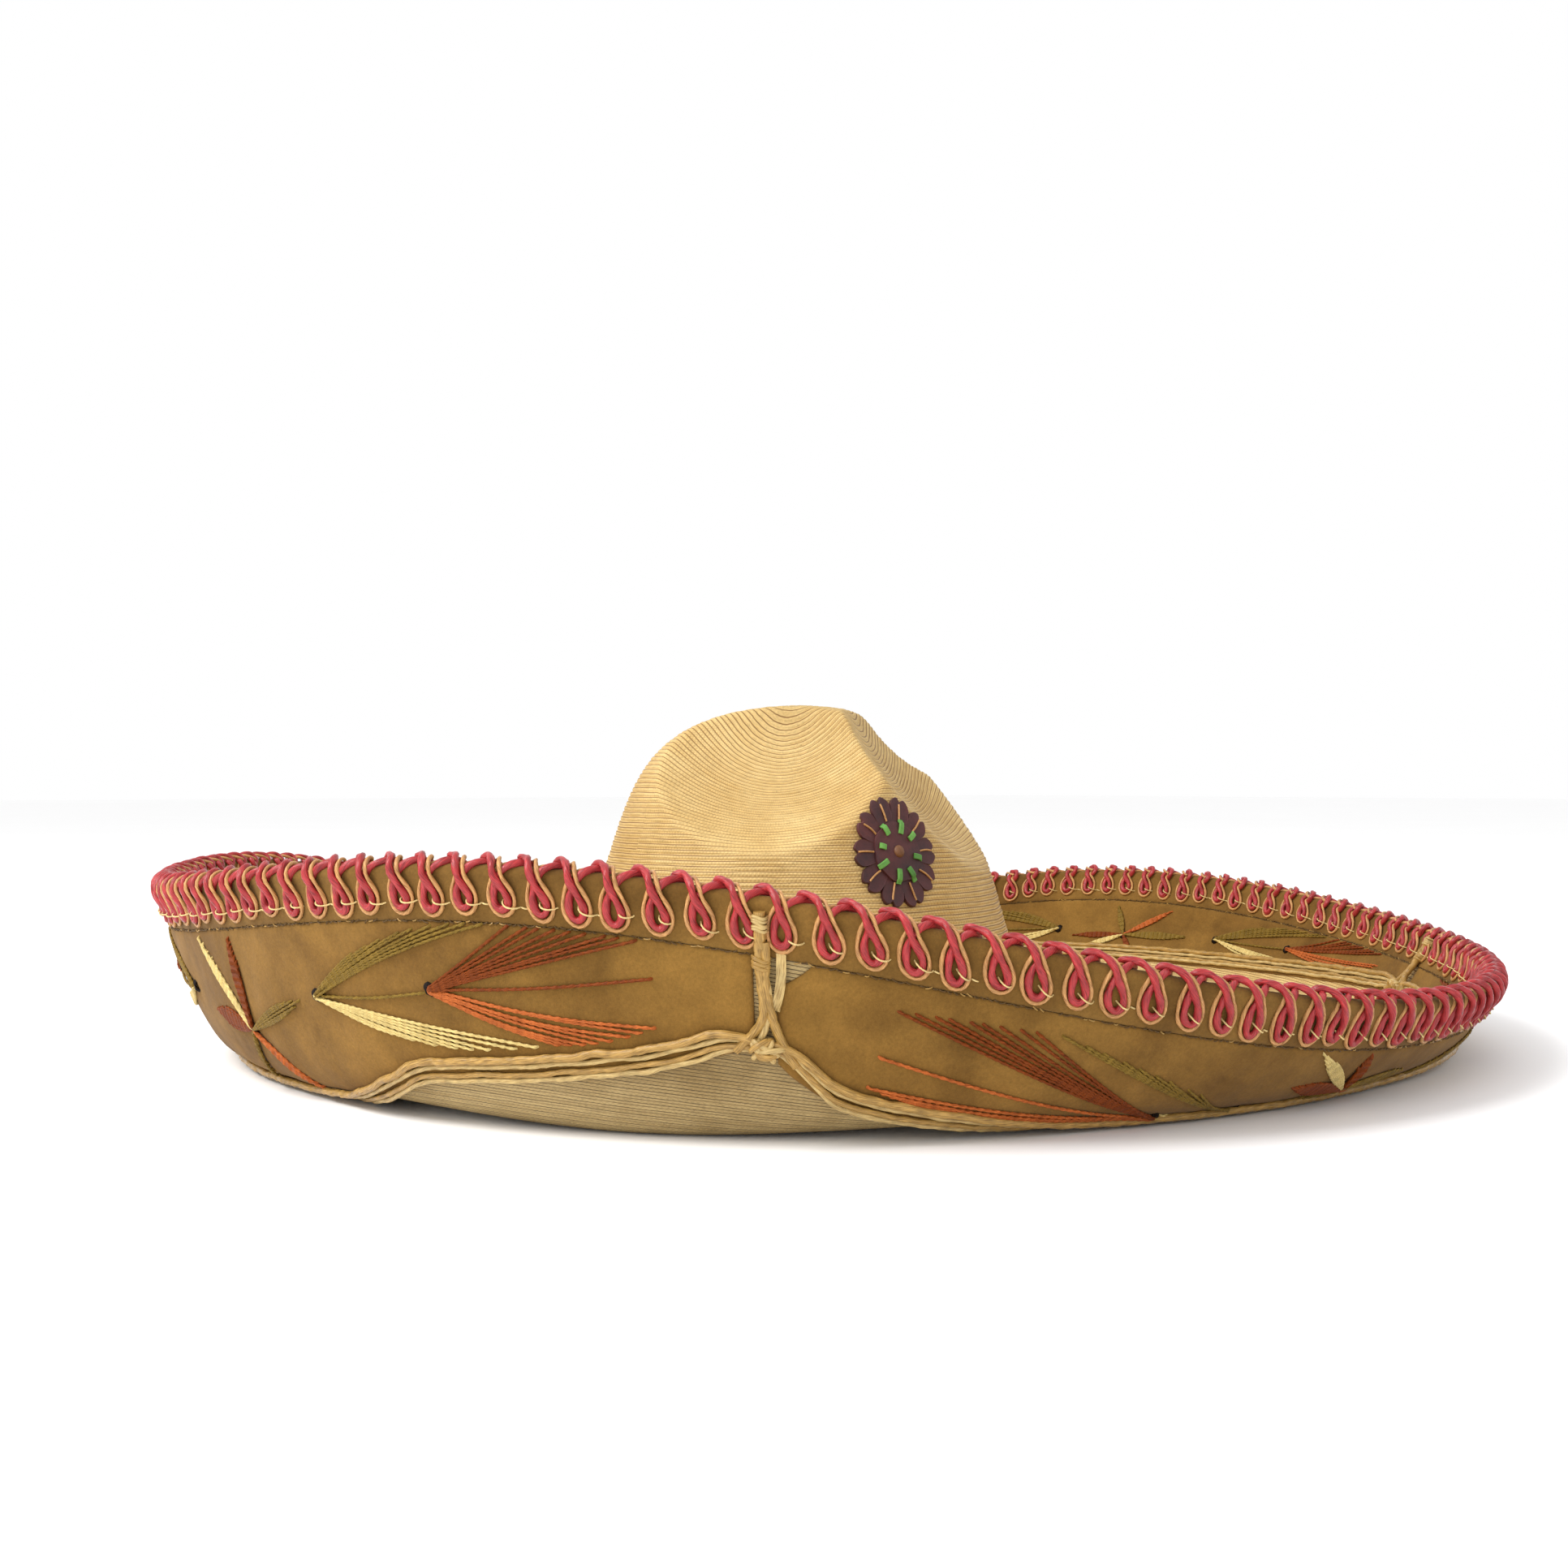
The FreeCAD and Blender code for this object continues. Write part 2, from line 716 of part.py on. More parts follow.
UPPER_FANS = [
    ((11, 0.34), ((16, 0.10), (28, 0.07))),
    ((11, 0.34), ((16, 0.50), (27, 0.44))),
    ((22, 0.29), ((30, 0.06), (38, 0.05))),
    ((22, 0.29), ((33, 0.38), (38, 0.16))),
]
UPPER_LEAVES = [
    ((2, 0.40), (9, 0.42), 2.6),
    ((2, 0.40), (3.5, 0.07), 2.8),
    ((2, 0.40), (-4, 0.10), 2.8),
    ((2, 0.40), (-6.5, 0.38), 3.0),
    ((2, 0.40), (0.5, 0.60), 2.4),
    ((2, 0.40), (7, 0.55), 2.6),
]
LOWER_END_MOTIFS = {"fans": HIGH_FANS + mirrored(HIGH_FANS), "leaves": LOWER_LEAVES}
LOWER_SIDE_MOTIFS = {"fans": LOW_FANS + mirrored(LOW_FANS), "leaves": LOWER_LEAVES}
UPPER_MOTIFS = {"fans": UPPER_FANS + mirrored(UPPER_FANS), "leaves": UPPER_LEAVES}


def motifs_on(face_name, panel):
    """The side panels of the underside carry longer fans that start lower down."""
    if face_name == "topside":
        return UPPER_MOTIFS
    return LOWER_SIDE_MOTIFS if panel in ("right", "left") else LOWER_END_MOTIFS


def make_embroidery(face_name):
    face = FACES[face_name]
    low, high = sorted(
        rise_on(face, SUEDE + layer) for layer in (GAP, GAP + size["thread_thickness"])
    )
    for name, middle in panel_middles(face):
        pieces = []
        motifs = motifs_on(face_name, name)
        for start, tips in motifs["fans"]:
            pieces.append(patch_solid(fan(middle, start, tips), 4, 6, low, high))
        for start, tip, half_width in motifs["leaves"]:
            pieces.append(patch_solid(leaf(middle, start, tip, half_width), 4, 8, low, high))
        add_feature(f"{face_name}_embroidery_{name}", Part.makeCompound(pieces))


# ---------------------------------------------------------------- rim loops
def rim_placement(azimuth):
    """Frame on the rim: X along the rim, Y down the brim, Z out of its lower face."""
    origin = brim_point(azimuth, 0, STRAW / 2)
    down = brim_point(azimuth, 12, STRAW / 2) - origin
    along = brim_point(azimuth + 0.5, 6, STRAW / 2) - brim_point(azimuth - 0.5, 6, STRAW / 2)
    rotation = FreeCAD.Rotation(along, down, along.cross(down), "YXZ")
    return FreeCAD.Placement(origin, rotation)


def loop_prototype(diameter, spread, drop):
    """One closed loop hung over the rim: two arches joined by a bend on each face."""
    radius = diameter / 2
    reach = STRAW / 2 + GAP + SUEDE + radius + 0.1
    top = STRAW / 2 + GAP + SUEDE

    def arch(x):
        start = Vector(x, top, reach)
        crest = Vector(x, top - reach, 0)
        end = Vector(x, top, -reach)
        return start, crest, end

    def bend(z):
        return Vector(-spread, drop, z), Vector(0, drop + spread, z), Vector(spread, drop, z)

    left = arch(-spread)
    right = arch(spread)
    near = bend(reach)
    far = bend(-reach)
    edges = [
        Part.Arc(*left).toShape(),
        Part.LineSegment(left[2], far[0]).toShape(),
        Part.Arc(*far).toShape(),
        Part.LineSegment(far[2], right[2]).toShape(),
        Part.Arc(*reversed(right)).toShape(),
        Part.LineSegment(right[0], near[2]).toShape(),
        Part.Arc(*reversed(near)).toShape(),
        Part.LineSegment(near[0], left[0]).toShape(),
    ]
    path = Part.Wire(edges)
    ring = polygon_ring(left[0], Vector(1, 0, 0), Vector(0, 0, 1), radius, LOOP_SIDES)
    section = Part.Face(Part.makePolygon(ring + [ring[0]]))
    loop = path.makePipe(section)
    if abs(loop.Volume / (section.Area * path.Length) - 1) > 0.02:
        raise RuntimeError("a rim loop does not fill its path")
    return loop


def make_rim_loops():
    count = int(size["loop_count"])
    for colour in ("pink", "tan"):
        diameter = size[f"{colour}_diameter"]
        prototype = loop_prototype(diameter, size[f"{colour}_spread"], size["loop_drop"])
        loops = []
        for number in range(count):
            loop = prototype.copy()
            loop.Placement = rim_placement(360.0 * number / count)
            loops.append(loop)
        add_feature(f"rim_loops_{colour}", Part.makeCompound(loops))


def make_tacks():
    """A short thread tack under the bottom of every loop, on both faces."""
    count = int(size["loop_count"])
    radius = size["tack_diameter"] / 2
    drop = size["loop_drop"] + size["tan_spread"] + size["tan_diameter"] / 2 + radius + 0.2
    reach = STRAW / 2 + GAP + SUEDE + radius + GAP
    half = size["tack_length"] / 2
    tacks = []
    for number in range(count):
        for side in (-1, 1):
            start = Vector(-half, drop, side * reach)
            tack = Part.makeCylinder(radius, 2 * half, start, Vector(1, 0, 0))
            tack.Placement = rim_placement(360.0 * number / count).multiply(tack.Placement)
            tacks.append(tack)
    add_feature("rim_tacks", Part.makeCompound(tacks))


# ---------------------------------------------------------------- crown rosettes
def rosette_placement(azimuth):
    """A plane that touches the crown's side, its Z pointing out and its Y up the crown."""
    height = size["rosette_height"]
    here = crown_point(azimuth, crown_wall(height), height)
    below = crown_point(azimuth, crown_wall(height - 15), height - 15)
    left = crown_point(azimuth - 8, crown_wall(height), height)
    right = crown_point(azimuth + 8, crown_wall(height), height)
    across = right - left
    up = here - below
    outward = across.cross(up)
    outward.normalize()
    rotation = FreeCAD.Rotation(across, up, outward, "ZYX")
    return here + CROWN_SHIFT, rotation, outward


def add_body(label, make_features, azimuth, layer):
    """A PartDesign body whose features are drawn on its own XY plane, set on the crown."""
    body = doc.addObject("PartDesign::Body", label)
    body.Label = label
    plane = [f for f in body.Origin.OriginFeatures if f.Role == "XY_Plane"][0]
    make_features(body, plane)
    doc.recompute()
    here, rotation, outward = rosette_placement(azimuth)
    body.Placement = FreeCAD.Placement(here + outward * layer, rotation)
    nodes.append(body)


def new_sketch(body, plane, name):
    sketch = body.newObject("Sketcher::SketchObject", name)
    sketch.AttachmentSupport = [(plane, "")]
    sketch.MapMode = "FlatFace"
    return sketch


def circle_pad(body, plane, name, radius, thickness, distance=None):
    """A round pad on the body's axis, or at a distance from it along Y. Sizes are expressions."""
    first_radius = 5.0
    first_centre = Vector(0, 0, 0) if distance is None else Vector(0, 2 * first_radius, 0)
    sketch = new_sketch(body, plane, f"{name}_sketch")
    sketch.addGeometry(Part.Circle(first_centre, Vector(0, 0, 1), first_radius), False)
    if distance is None:
        sketch.addConstraint(Sketcher.Constraint("Coincident", 0, 3, -1, 1))
    else:
        sketch.addConstraint(Sketcher.Constraint("PointOnObject", 0, 3, -2))
        along = Sketcher.Constraint("DistanceY", -1, 1, 0, 3, first_centre.y)
        place = sketch.addConstraint(along)
        sketch.setExpression(f"Constraints[{place}]", distance)
    round_size = sketch.addConstraint(Sketcher.Constraint("Radius", 0, first_radius))
    sketch.setExpression(f"Constraints[{round_size}]", radius)
    pad = body.newObject("PartDesign::Pad", name)
    pad.Profile = sketch
    pad.setExpression("Length", thickness)
    body.Tip = pad
    doc.recompute()
    return pad


def polar(body, plane, name, feature, count):
    """Repeats a feature round the body's own Z axis."""
    axis = [f for f in body.Origin.OriginFeatures if f.Role == "Z_Axis"][0]
    pattern = body.newObject("PartDesign::PolarPattern", name)
    pattern.Originals = [feature]
    pattern.Axis = (axis, [""])
    pattern.Angle = 360.0
    pattern.setExpression("Occurrences", count)
    body.Tip = pattern
    doc.recompute()


def flower_features(body, plane):
    thick = "dimensions.rosette_thickness * 1 mm"
    reach = "(dimensions.rosette_radius - dimensions.petal_radius) * 1 mm"
    circle_pad(body, plane, "heart", reach, thick)
    petal = circle_pad(body, plane, "petal", "dimensions.petal_radius * 1 mm", thick, reach)
    polar(body, plane, "petals", petal, "dimensions.petal_count")


def disc_features(body, plane):
    thick = "dimensions.rosette_thickness * 1 mm"
    circle_pad(body, plane, "disc", "dimensions.disc_radius * 1 mm", thick)


def stud_features(body, plane):
    height = "dimensions.stud_height * 1 mm"
    stud = circle_pad(body, plane, "stud", "dimensions.stud_radius * 1 mm", height)
    dome = body.newObject("PartDesign::Fillet", "stud_dome")
    dome.Base = (stud, ["Face3"])
    dome.Radius = 1.0
    body.Tip = dome


def make_bars(label, azimuth, layer, width, length, start, count):
    """A ring of bars as separate boxes, grouped as one node. Width and length name dimensions."""
    here, rotation, outward = rosette_placement(azimuth)
    base = FreeCAD.Placement(here + outward * layer, rotation)
    bars = []
    for i in range(count):
        turn = 360.0 * (i + 0.5) / count
        bar = doc.addObject("Part::Box", f"{label}_{i}")
        bar.setExpression("Length", f"dimensions.{width} * 1 mm")
        bar.setExpression("Width", f"dimensions.{length} * 1 mm")
        bar.setExpression("Height", "dimensions.stitch_diameter * 1 mm")
        spin = FreeCAD.Rotation(Vector(0, 0, 1), turn)
        offset = spin.multVec(Vector(-size[width] / 2, start, 0))
        bar.Placement = base.multiply(FreeCAD.Placement(offset, spin))
        bars.append(bar)
    group = doc.addObject("Part::Compound", label)
    group.Label = label
    group.Links = bars
    nodes.append(group)


def make_rosette(name, azimuth):
    thickness = size["rosette_thickness"]
    gap = 0.1
    add_body(f"{name}_flower", flower_features, azimuth, gap)
    add_body(f"{name}_disc", disc_features, azimuth, thickness + 2 * gap)
    top = 2 * thickness + 3 * gap
    add_body(f"{name}_stud", stud_features, azimuth, top)
    make_bars(
        f"{name}_lacing", azimuth, top, "strip_width", "strip_length",
        size["strip_start"], int(size["strip_count"]),
    )
    make_bars(
        f"{name}_stitches", azimuth, thickness + 2 * gap, "stitch_diameter", "stitch_length",
        size["disc_radius"] + 0.8, int(size["petal_count"]),
    )


# ---------------------------------------------------------------- build
make_crown()
make_brim()
make_sweatband()
make_edge_wire()
make_binding()
make_rim_loops()
make_tacks()
for face_name in FACES:
    make_panels(face_name)
    make_border_cords(face_name)
    make_corner_cords(face_name)
    make_knots(face_name)
    make_embroidery(face_name)
make_rosette("rosette_left", size["rosette_azimuth"])
make_rosette("rosette_right", -size["rosette_azimuth"])

doc.recompute()
for item in doc.Objects:
    if "Invalid" in item.State or "Error" in item.State:
        raise RuntimeError(f"{item.Label}: {item.State}")
os.makedirs("parts", exist_ok=True)
for node in nodes:
    shape = node.Shape
    if shape.isNull() or not shape.isValid():
        raise RuntimeError(f"{node.Label} is not a valid shape")
    if len(shape.Solids) == 0 or shape.Volume <= 0:
        raise RuntimeError(f"{node.Label} holds no solid")
    low = shape.BoundBox.ZMin
    print(f"{node.Label}: {len(shape.Solids)} solids, {shape.Volume:.0f} mm3, z from {low:.2f}")
    shape.exportStep(f"parts/{node.Label}.step")
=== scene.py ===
import bpy
import math
import numpy as np
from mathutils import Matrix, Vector


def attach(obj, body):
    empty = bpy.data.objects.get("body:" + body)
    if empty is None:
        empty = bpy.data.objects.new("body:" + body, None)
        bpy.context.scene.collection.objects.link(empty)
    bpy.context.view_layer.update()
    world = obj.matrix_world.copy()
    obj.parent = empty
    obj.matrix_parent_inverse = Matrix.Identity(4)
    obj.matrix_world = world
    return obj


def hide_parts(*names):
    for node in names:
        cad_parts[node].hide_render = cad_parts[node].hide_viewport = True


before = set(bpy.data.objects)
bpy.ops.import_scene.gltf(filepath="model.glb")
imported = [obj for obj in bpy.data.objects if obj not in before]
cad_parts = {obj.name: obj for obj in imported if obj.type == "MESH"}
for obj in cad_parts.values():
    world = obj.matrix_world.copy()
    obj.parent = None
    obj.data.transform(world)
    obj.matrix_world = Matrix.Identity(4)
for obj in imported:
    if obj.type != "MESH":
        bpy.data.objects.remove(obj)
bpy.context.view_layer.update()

# A charro sombrero standing on its brim, crown up. The wearer faces -Y, their left side is +X.
# Sizes are in millimetres here and become metres in build(). Azimuths are in degrees from -Y
# towards +X. A place on the brim is (azimuth, drop, rise): drop is the distance down from the rim
# edge, rise the distance from the straw's lower face towards its upper face.

MM = 0.001
FLOOR_CLEARANCE = 0.2
BODY = "root"
ARC_SCALE = 5.0  # millimetres along the brim's wall for a degree of azimuth
random = np.random.default_rng(7)


# ---------------------------------------------------------------- sizes, as in the CAD
STRAW = 3.0
SUEDE = 1.2
GAP = 0.05
BRIM_RADIUS = 288.0
WALL_FOOT_RADIUS = 250.0
WALL_POWER = 2.56
RIM_HEIGHT = 56.5
RIM_WAVES = [(1, 18.4, -2.0), (2, 14.0, 3.5), (3, 8.2, 58.0), (4, 5.5, 28.5)]
FOOT_LIFT = 4.4
FOOT_AT = 37.0
FLAT_RADIUS = 225.0
CROWN_FOOT_HEIGHT = 10.0
CROWN_HEIGHT = 148.0
CROWN_FRONT = 116.0
CROWN_SIDE = 98.5
CROWN_SHIFT = np.array([-7.0, -12.0, 0.0])
CROWN_TAPER = 376.0
CROWN_ROUND_POWER = 10.0
CROWN_FILLET = 14.0
MEAN_RADIUS = 109.0
DENT_SOFTNESS = 4.0
# azimuth, reach, radius and offset of the spheres that press the dents in
DENTS = [
    (42.0, 107.0, 110.0, 49.0), (128.0, 108.0, 160.0, 28.0), (218.0, 110.0, 110.0, 49.0),
    (288.0, 117.0, 110.0, 49.0),
]
RAY_START = np.array([0.0, 0.0, 50.0])
BRAID_PITCH = 2.3
BINDING_WIDTH = 18.0
BINDING_HALF = STRAW / 2 + GAP + SUEDE
STRAW_EDGE = 5.0
LOOP_COUNT = 141
FIRST_LOOP_AT = -14.0
PINK_RADIUS = 1.32
TAN_RADIUS = 0.74
SWEATBAND = (25.0, 51.0)
ROSETTE_HEIGHT = 83.0
ROSETTE_AZIMUTH = 83.5
ROSETTE_RADIUS = 23.0


# ---------------------------------------------------------------- shape of the brim
def rim_height(azimuth):
    """Height of the rim above the floor: a saddle, high at the front, low at the sides."""
    return RIM_HEIGHT + sum(
        lift * math.cos(order * math.radians(azimuth - at)) for order, lift, at in RIM_WAVES
    )


def foot_gap(azimuth):
    """Height of the wall's foot above the floor: the brim rests on it at four places."""
    return FOOT_LIFT * (1 - math.cos(2 * math.radians(azimuth - FOOT_AT)) ** 6)


def crown_wall(height):
    """Mean radius of the crown before its dents."""
    taper = MEAN_RADIUS * (1 - height / CROWN_TAPER)
    fraction = np.minimum(1.0, height / CROWN_HEIGHT)
    return taper * np.sqrt(np.maximum(0.0, 1 - fraction ** CROWN_ROUND_POWER))


def crown_profile():
    """Mean radii and heights from the brim junction up to the middle of the top."""
    wall_angle = math.pi / 2 - math.atan(MEAN_RADIUS / CROWN_TAPER)
    base = CROWN_FOOT_HEIGHT + STRAW
    wall_start = base + CROWN_FILLET * (1 - math.cos(wall_angle))
    foot_radius = crown_wall(wall_start) + CROWN_FILLET * math.sin(wall_angle)
    turn = np.linspace(0, wall_angle, 12, endpoint=False)
    radii = [foot_radius - CROWN_FILLET * np.sin(turn)]
    heights = [base + CROWN_FILLET * (1 - np.cos(turn))]
    dome_start = 112.0
    wall = np.linspace(wall_start, dome_start, 40, endpoint=False)
    power = CROWN_ROUND_POWER / 2
    turn = np.linspace(math.asin((dome_start / CROWN_HEIGHT) ** power), math.radians(89.6), 60)
    dome = CROWN_HEIGHT * np.sin(turn) ** (1 / power)
    heights += [wall, dome]
    radii += [crown_wall(wall), crown_wall(dome)]
    return np.concatenate(radii), np.concatenate(heights)


JUNCTION_RADIUS = crown_profile()[0][0]


def junction_radius(azimuth):
    """Distance from the brim's axis to the line where the crown meets the brim."""
    out = math.radians(azimuth)
    a = CROWN_SIDE * JUNCTION_RADIUS / MEAN_RADIUS
    b = CROWN_FRONT * JUNCTION_RADIUS / MEAN_RADIUS
    ux = math.sin(out)
    uy = -math.cos(out)
    square = (ux / a) ** 2 + (uy / b) ** 2
    middle = ux * CROWN_SHIFT[0] / a ** 2 + uy * CROWN_SHIFT[1] / b ** 2
    rest = (CROWN_SHIFT[0] / a) ** 2 + (CROWN_SHIFT[1] / b) ** 2 - 1
    return (middle + math.sqrt(middle ** 2 - square * rest)) / square


AZIMUTH_STEP = 0.5
AZIMUTHS = np.arange(0, 360, AZIMUTH_STEP)
DROP_STEP = 0.5
BRIM_REACH = 260.0  # further than the longest way from the rim in to the crown
PROFILE_STEPS = 60
RIM_CROWDING = 0.65  # below 1 it sets the wall's points closer together near the rim


def brim_profile(azimuth):
    """Drops, radii and heights of the straw's lower face, from the rim in to the crown."""
    gap = foot_gap(azimuth)
    inner = junction_radius(azimuth)
    t = (1 - np.arange(PROFILE_STEPS + 1) / PROFILE_STEPS) ** RIM_CROWDING
    wall_radii = WALL_FOOT_RADIUS + (BRIM_RADIUS - WALL_FOOT_RADIUS) * t
    wall_heights = gap + (rim_height(azimuth) - gap) * t ** WALL_POWER
    steps = np.arange(1, PROFILE_STEPS + 1) / PROFILE_STEPS
    radii = WALL_FOOT_RADIUS + (inner - WALL_FOOT_RADIUS) * steps
    lift = np.maximum(0.0, (FLAT_RADIUS - radii) / (FLAT_RADIUS - inner))
    heights = gap + (CROWN_FOOT_HEIGHT - gap) * (1 - np.cos(math.pi * lift)) / 2
    radii = np.concatenate([wall_radii, radii])
    heights = np.concatenate([wall_heights, heights])
    drops = np.concatenate([[0.0], np.cumsum(np.hypot(np.diff(radii), np.diff(heights)))])
    return drops, radii, heights


def make_brim_table(profiles):
    """Radius, height and their slopes along the drop, on an even grid of azimuths and drops."""
    grid_drops = np.arange(0, BRIM_REACH, DROP_STEP)
    rows = []
    for drops, radii, heights in profiles:
        slopes = [np.gradient(values, drops) for values in (radii, heights)]
        rows.append([np.interp(grid_drops, drops, v) for v in (radii, heights, *slopes)])
    return np.array(rows).transpose(1, 0, 2)


PROFILES = [brim_profile(azimuth) for azimuth in AZIMUTHS]
BRIM_TABLE = make_brim_table(PROFILES)
BRIM_ENDS = [drops[-1] for drops, radii, heights in PROFILES]
WALL_LENGTHS = [drops[PROFILE_STEPS] for drops, radii, heights in PROFILES]


def by_azimuth(values, azimuth):
    return np.interp(azimuth, AZIMUTHS, values, period=360.0)


def brim(azimuth, drop, rise):
    """Points on or above the brim, for arrays of azimuths, drops and rises."""
    azimuth, drop, rise = np.broadcast_arrays(azimuth, drop, rise)
    column = (azimuth % 360.0) / AZIMUTH_STEP
    row = np.clip(drop, 0, DROP_STEP * (BRIM_TABLE.shape[2] - 1.001)) / DROP_STEP
    i = column.astype(int)
    j = row.astype(int)
    part_i = column - i
    part_j = row - j
    after = (i + 1) % BRIM_TABLE.shape[1]
    i = i % BRIM_TABLE.shape[1]
    radius, height, out, up = (
        (table[i, j] * (1 - part_j) + table[i, j + 1] * part_j) * (1 - part_i)
        + (table[after, j] * (1 - part_j) + table[after, j + 1] * part_j) * part_i
        for table in BRIM_TABLE
    )
    beyond = np.minimum(drop, 0)
    radius = radius + rise * up + beyond * out
    height = height - rise * out + beyond * up
    turn = np.radians(azimuth)
    return np.stack([radius * np.sin(turn), -radius * np.cos(turn), height], -1)


def drop_at(azimuth, depth):
    """Drop for a depth from 0 at the binding's edge to 1 at the foot of the wall."""
    start = BINDING_WIDTH + 0.4
    return start + (by_azimuth(WALL_LENGTHS, azimuth) - start) * depth


def over_rim(azimuth, along, lift):
    """Points above the folded binding: along is 0 on the rim's crest, positive on the underside."""
    reach = BINDING_HALF + lift
    bend = np.minimum(np.abs(along) / BINDING_HALF, math.pi / 2)
    flat = np.maximum(np.abs(along) - BINDING_HALF * math.pi / 2, 0)
    drop = BINDING_HALF + flat - reach * np.cos(bend)
    rise = STRAW / 2 - np.sign(along) * reach * np.sin(bend)
    return brim(azimuth, drop, rise)


# ---------------------------------------------------------------- shape of the crown
def dented(points):
    """Moves crown points in towards the crown's middle where a dent sphere reaches them."""
    rays = points - RAY_START
    result = np.linalg.norm(rays, axis=-1)
    rays = rays / result[..., None]
    for azimuth, reach, radius, offset in DENTS:
        out = math.radians(azimuth)
        level = math.sqrt(0.5) * (reach + radius - offset)
        height = math.sqrt(0.5) * (reach + radius + offset)
        centre = np.array([level * math.sin(out), -level * math.cos(out), height]) - RAY_START
        along = rays @ centre
        inside = radius ** 2 - centre @ centre + along ** 2
        entry = along - np.sqrt(np.maximum(inside, 0))
        entry = np.where((inside > 0) & (along > 0), entry, 1e6)
        blend = np.maximum(DENT_SOFTNESS - np.abs(result - entry), 0) / DENT_SOFTNESS
        result = np.minimum(result, entry) - blend ** 2 * DENT_SOFTNESS / 4
    return RAY_START + rays * result[..., None]


def crown_points(azimuth, radius, height):
    turn = np.radians(azimuth)
    x = CROWN_SIDE * radius / MEAN_RADIUS * np.sin(turn)
    y = -CROWN_FRONT * radius / MEAN_RADIUS * np.cos(turn)
    plain = np.stack(np.broadcast_arrays(x, y, height), -1)
    moved = dented(plain)
    return np.where(plain[..., 2:] < RAY_START[2], plain, moved) + CROWN_SHIFT


def crown_face(azimuth, height, lift):
    """Points a given lift above the crown's side, for arrays of azimuths and heights."""
    def at(a, h):
        return crown_points(a, crown_wall(h), h)

    around = at(azimuth + 0.5, height) - at(azimuth - 0.5, height)
    up = at(azimuth, height + 0.5) - at(azimuth, height - 0.5)
    normal = np.cross(around, up)
    normal /= np.linalg.norm(normal, axis=-1)[..., None]
    return at(azimuth, height) + normal * np.asarray(lift)[..., None]


# ---------------------------------------------------------------- mesh code
def grid(points, row_places, column_places, wrap_rows=False, wrap_columns=False, flip=False):
    """Quads over a grid of points, with UVs in millimetres that don't fold at a wrapped seam."""
    rows, columns = points.shape[:2]
    i = np.arange(rows if wrap_rows else rows - 1)[:, None]
    j = np.arange(columns if wrap_columns else columns - 1)[None, :]
    corners = [(i, j), (i, j + 1), (i + 1, j + 1), (i + 1, j)]
    if flip:
        corners = corners[::-1]
    faces = [(a % rows) * columns + b % columns for a, b in corners]
    uvs = []
    for a, b in corners:
        u, v = np.broadcast_arrays(column_places[b], row_places[a])
        uvs.append(np.stack([u, v], -1).reshape(-1, 2))
    faces = np.stack([f.reshape(-1) for f in faces], -1)
    return points.reshape(-1, 3), [(faces, np.stack(uvs, 1))]


def circle(columns):
    """Angles round a ring in radians, from 0 up to the full turn."""
    return 2 * math.pi * np.arange(columns + 1) / columns


def caps(rows, columns, flip=False):
    """Flat faces over the first and the last ring of a grid whose columns wrap."""
    first = np.arange(columns)[None, ::-1]
    last = first[:, ::-1] + (rows - 1) * columns
    if flip:
        first, last = first[:, ::-1], last[:, ::-1]
    return [(ring, np.zeros((1, columns, 2))) for ring in (first, last)]


def shell(outer, inner, across, along, thickness, flip, closed=True):
    """The two faces of a sheet and the narrow edges between them."""
    thin = np.array([0.0, thickness])
    patches = [
        grid(outer, across, along, wrap_columns=closed, flip=flip),
        grid(inner, across, along, wrap_columns=closed, flip=not flip),
    ]
    for pair in ((inner[0], outer[0]), (outer[-1], inner[-1])):
        patches.append(grid(np.stack(pair), thin, along, wrap_columns=closed, flip=flip))
    if not closed:
        for pair in ((outer[:, :1], inner[:, :1]), (inner[:, -1:], outer[:, -1:])):
            strip = np.concatenate(pair, axis=1)
            patches.append(grid(strip, across, thin, flip=not flip))
    return patches


def tube(points, normals, radius, sides=8, closed=False, ply_pitch=0.0, groove=0.38):
    """A cord along points, with its ends capped. With a ply pitch it is two twisted plies."""
    ahead = np.gradient(points, axis=0)
    if closed:
        ahead = np.roll(points, -1, 0) - np.roll(points, 1, 0)
    ahead /= np.linalg.norm(ahead, axis=1)[:, None]
    normals = normals - ahead * np.sum(normals * ahead, 1)[:, None]
    normals /= np.linalg.norm(normals, axis=1)[:, None]
    side = np.cross(ahead, normals)
    steps = np.linalg.norm(np.diff(points, axis=0), axis=1)
    if closed:
        steps = np.append(steps, np.linalg.norm(points[0] - points[-1]))
    length = np.concatenate([[0.0], np.cumsum(steps)])
    turn = circle(sides)
    spread = np.broadcast_to(np.asarray(radius, float), len(points))[:, None]
    shape = np.ones((len(points), sides))
    if ply_pitch:
        twist = length[:len(points), None] * math.pi / ply_pitch
        shape = 1 - groove + groove * np.abs(np.cos(turn[None, :sides] - twist))
    reach = (spread * shape)[..., None]
    across = np.cos(turn[:sides])[None, :, None] * normals[:, None]
    across = across + np.sin(turn[:sides])[None, :, None] * side[:, None]
    rings = points[:, None] + across * reach
    girth = turn * float(np.mean(spread))
    vertices, faces = grid(rings, length, girth, wrap_rows=closed, wrap_columns=True)
    return vertices, faces if closed else faces + caps(len(points), sides)


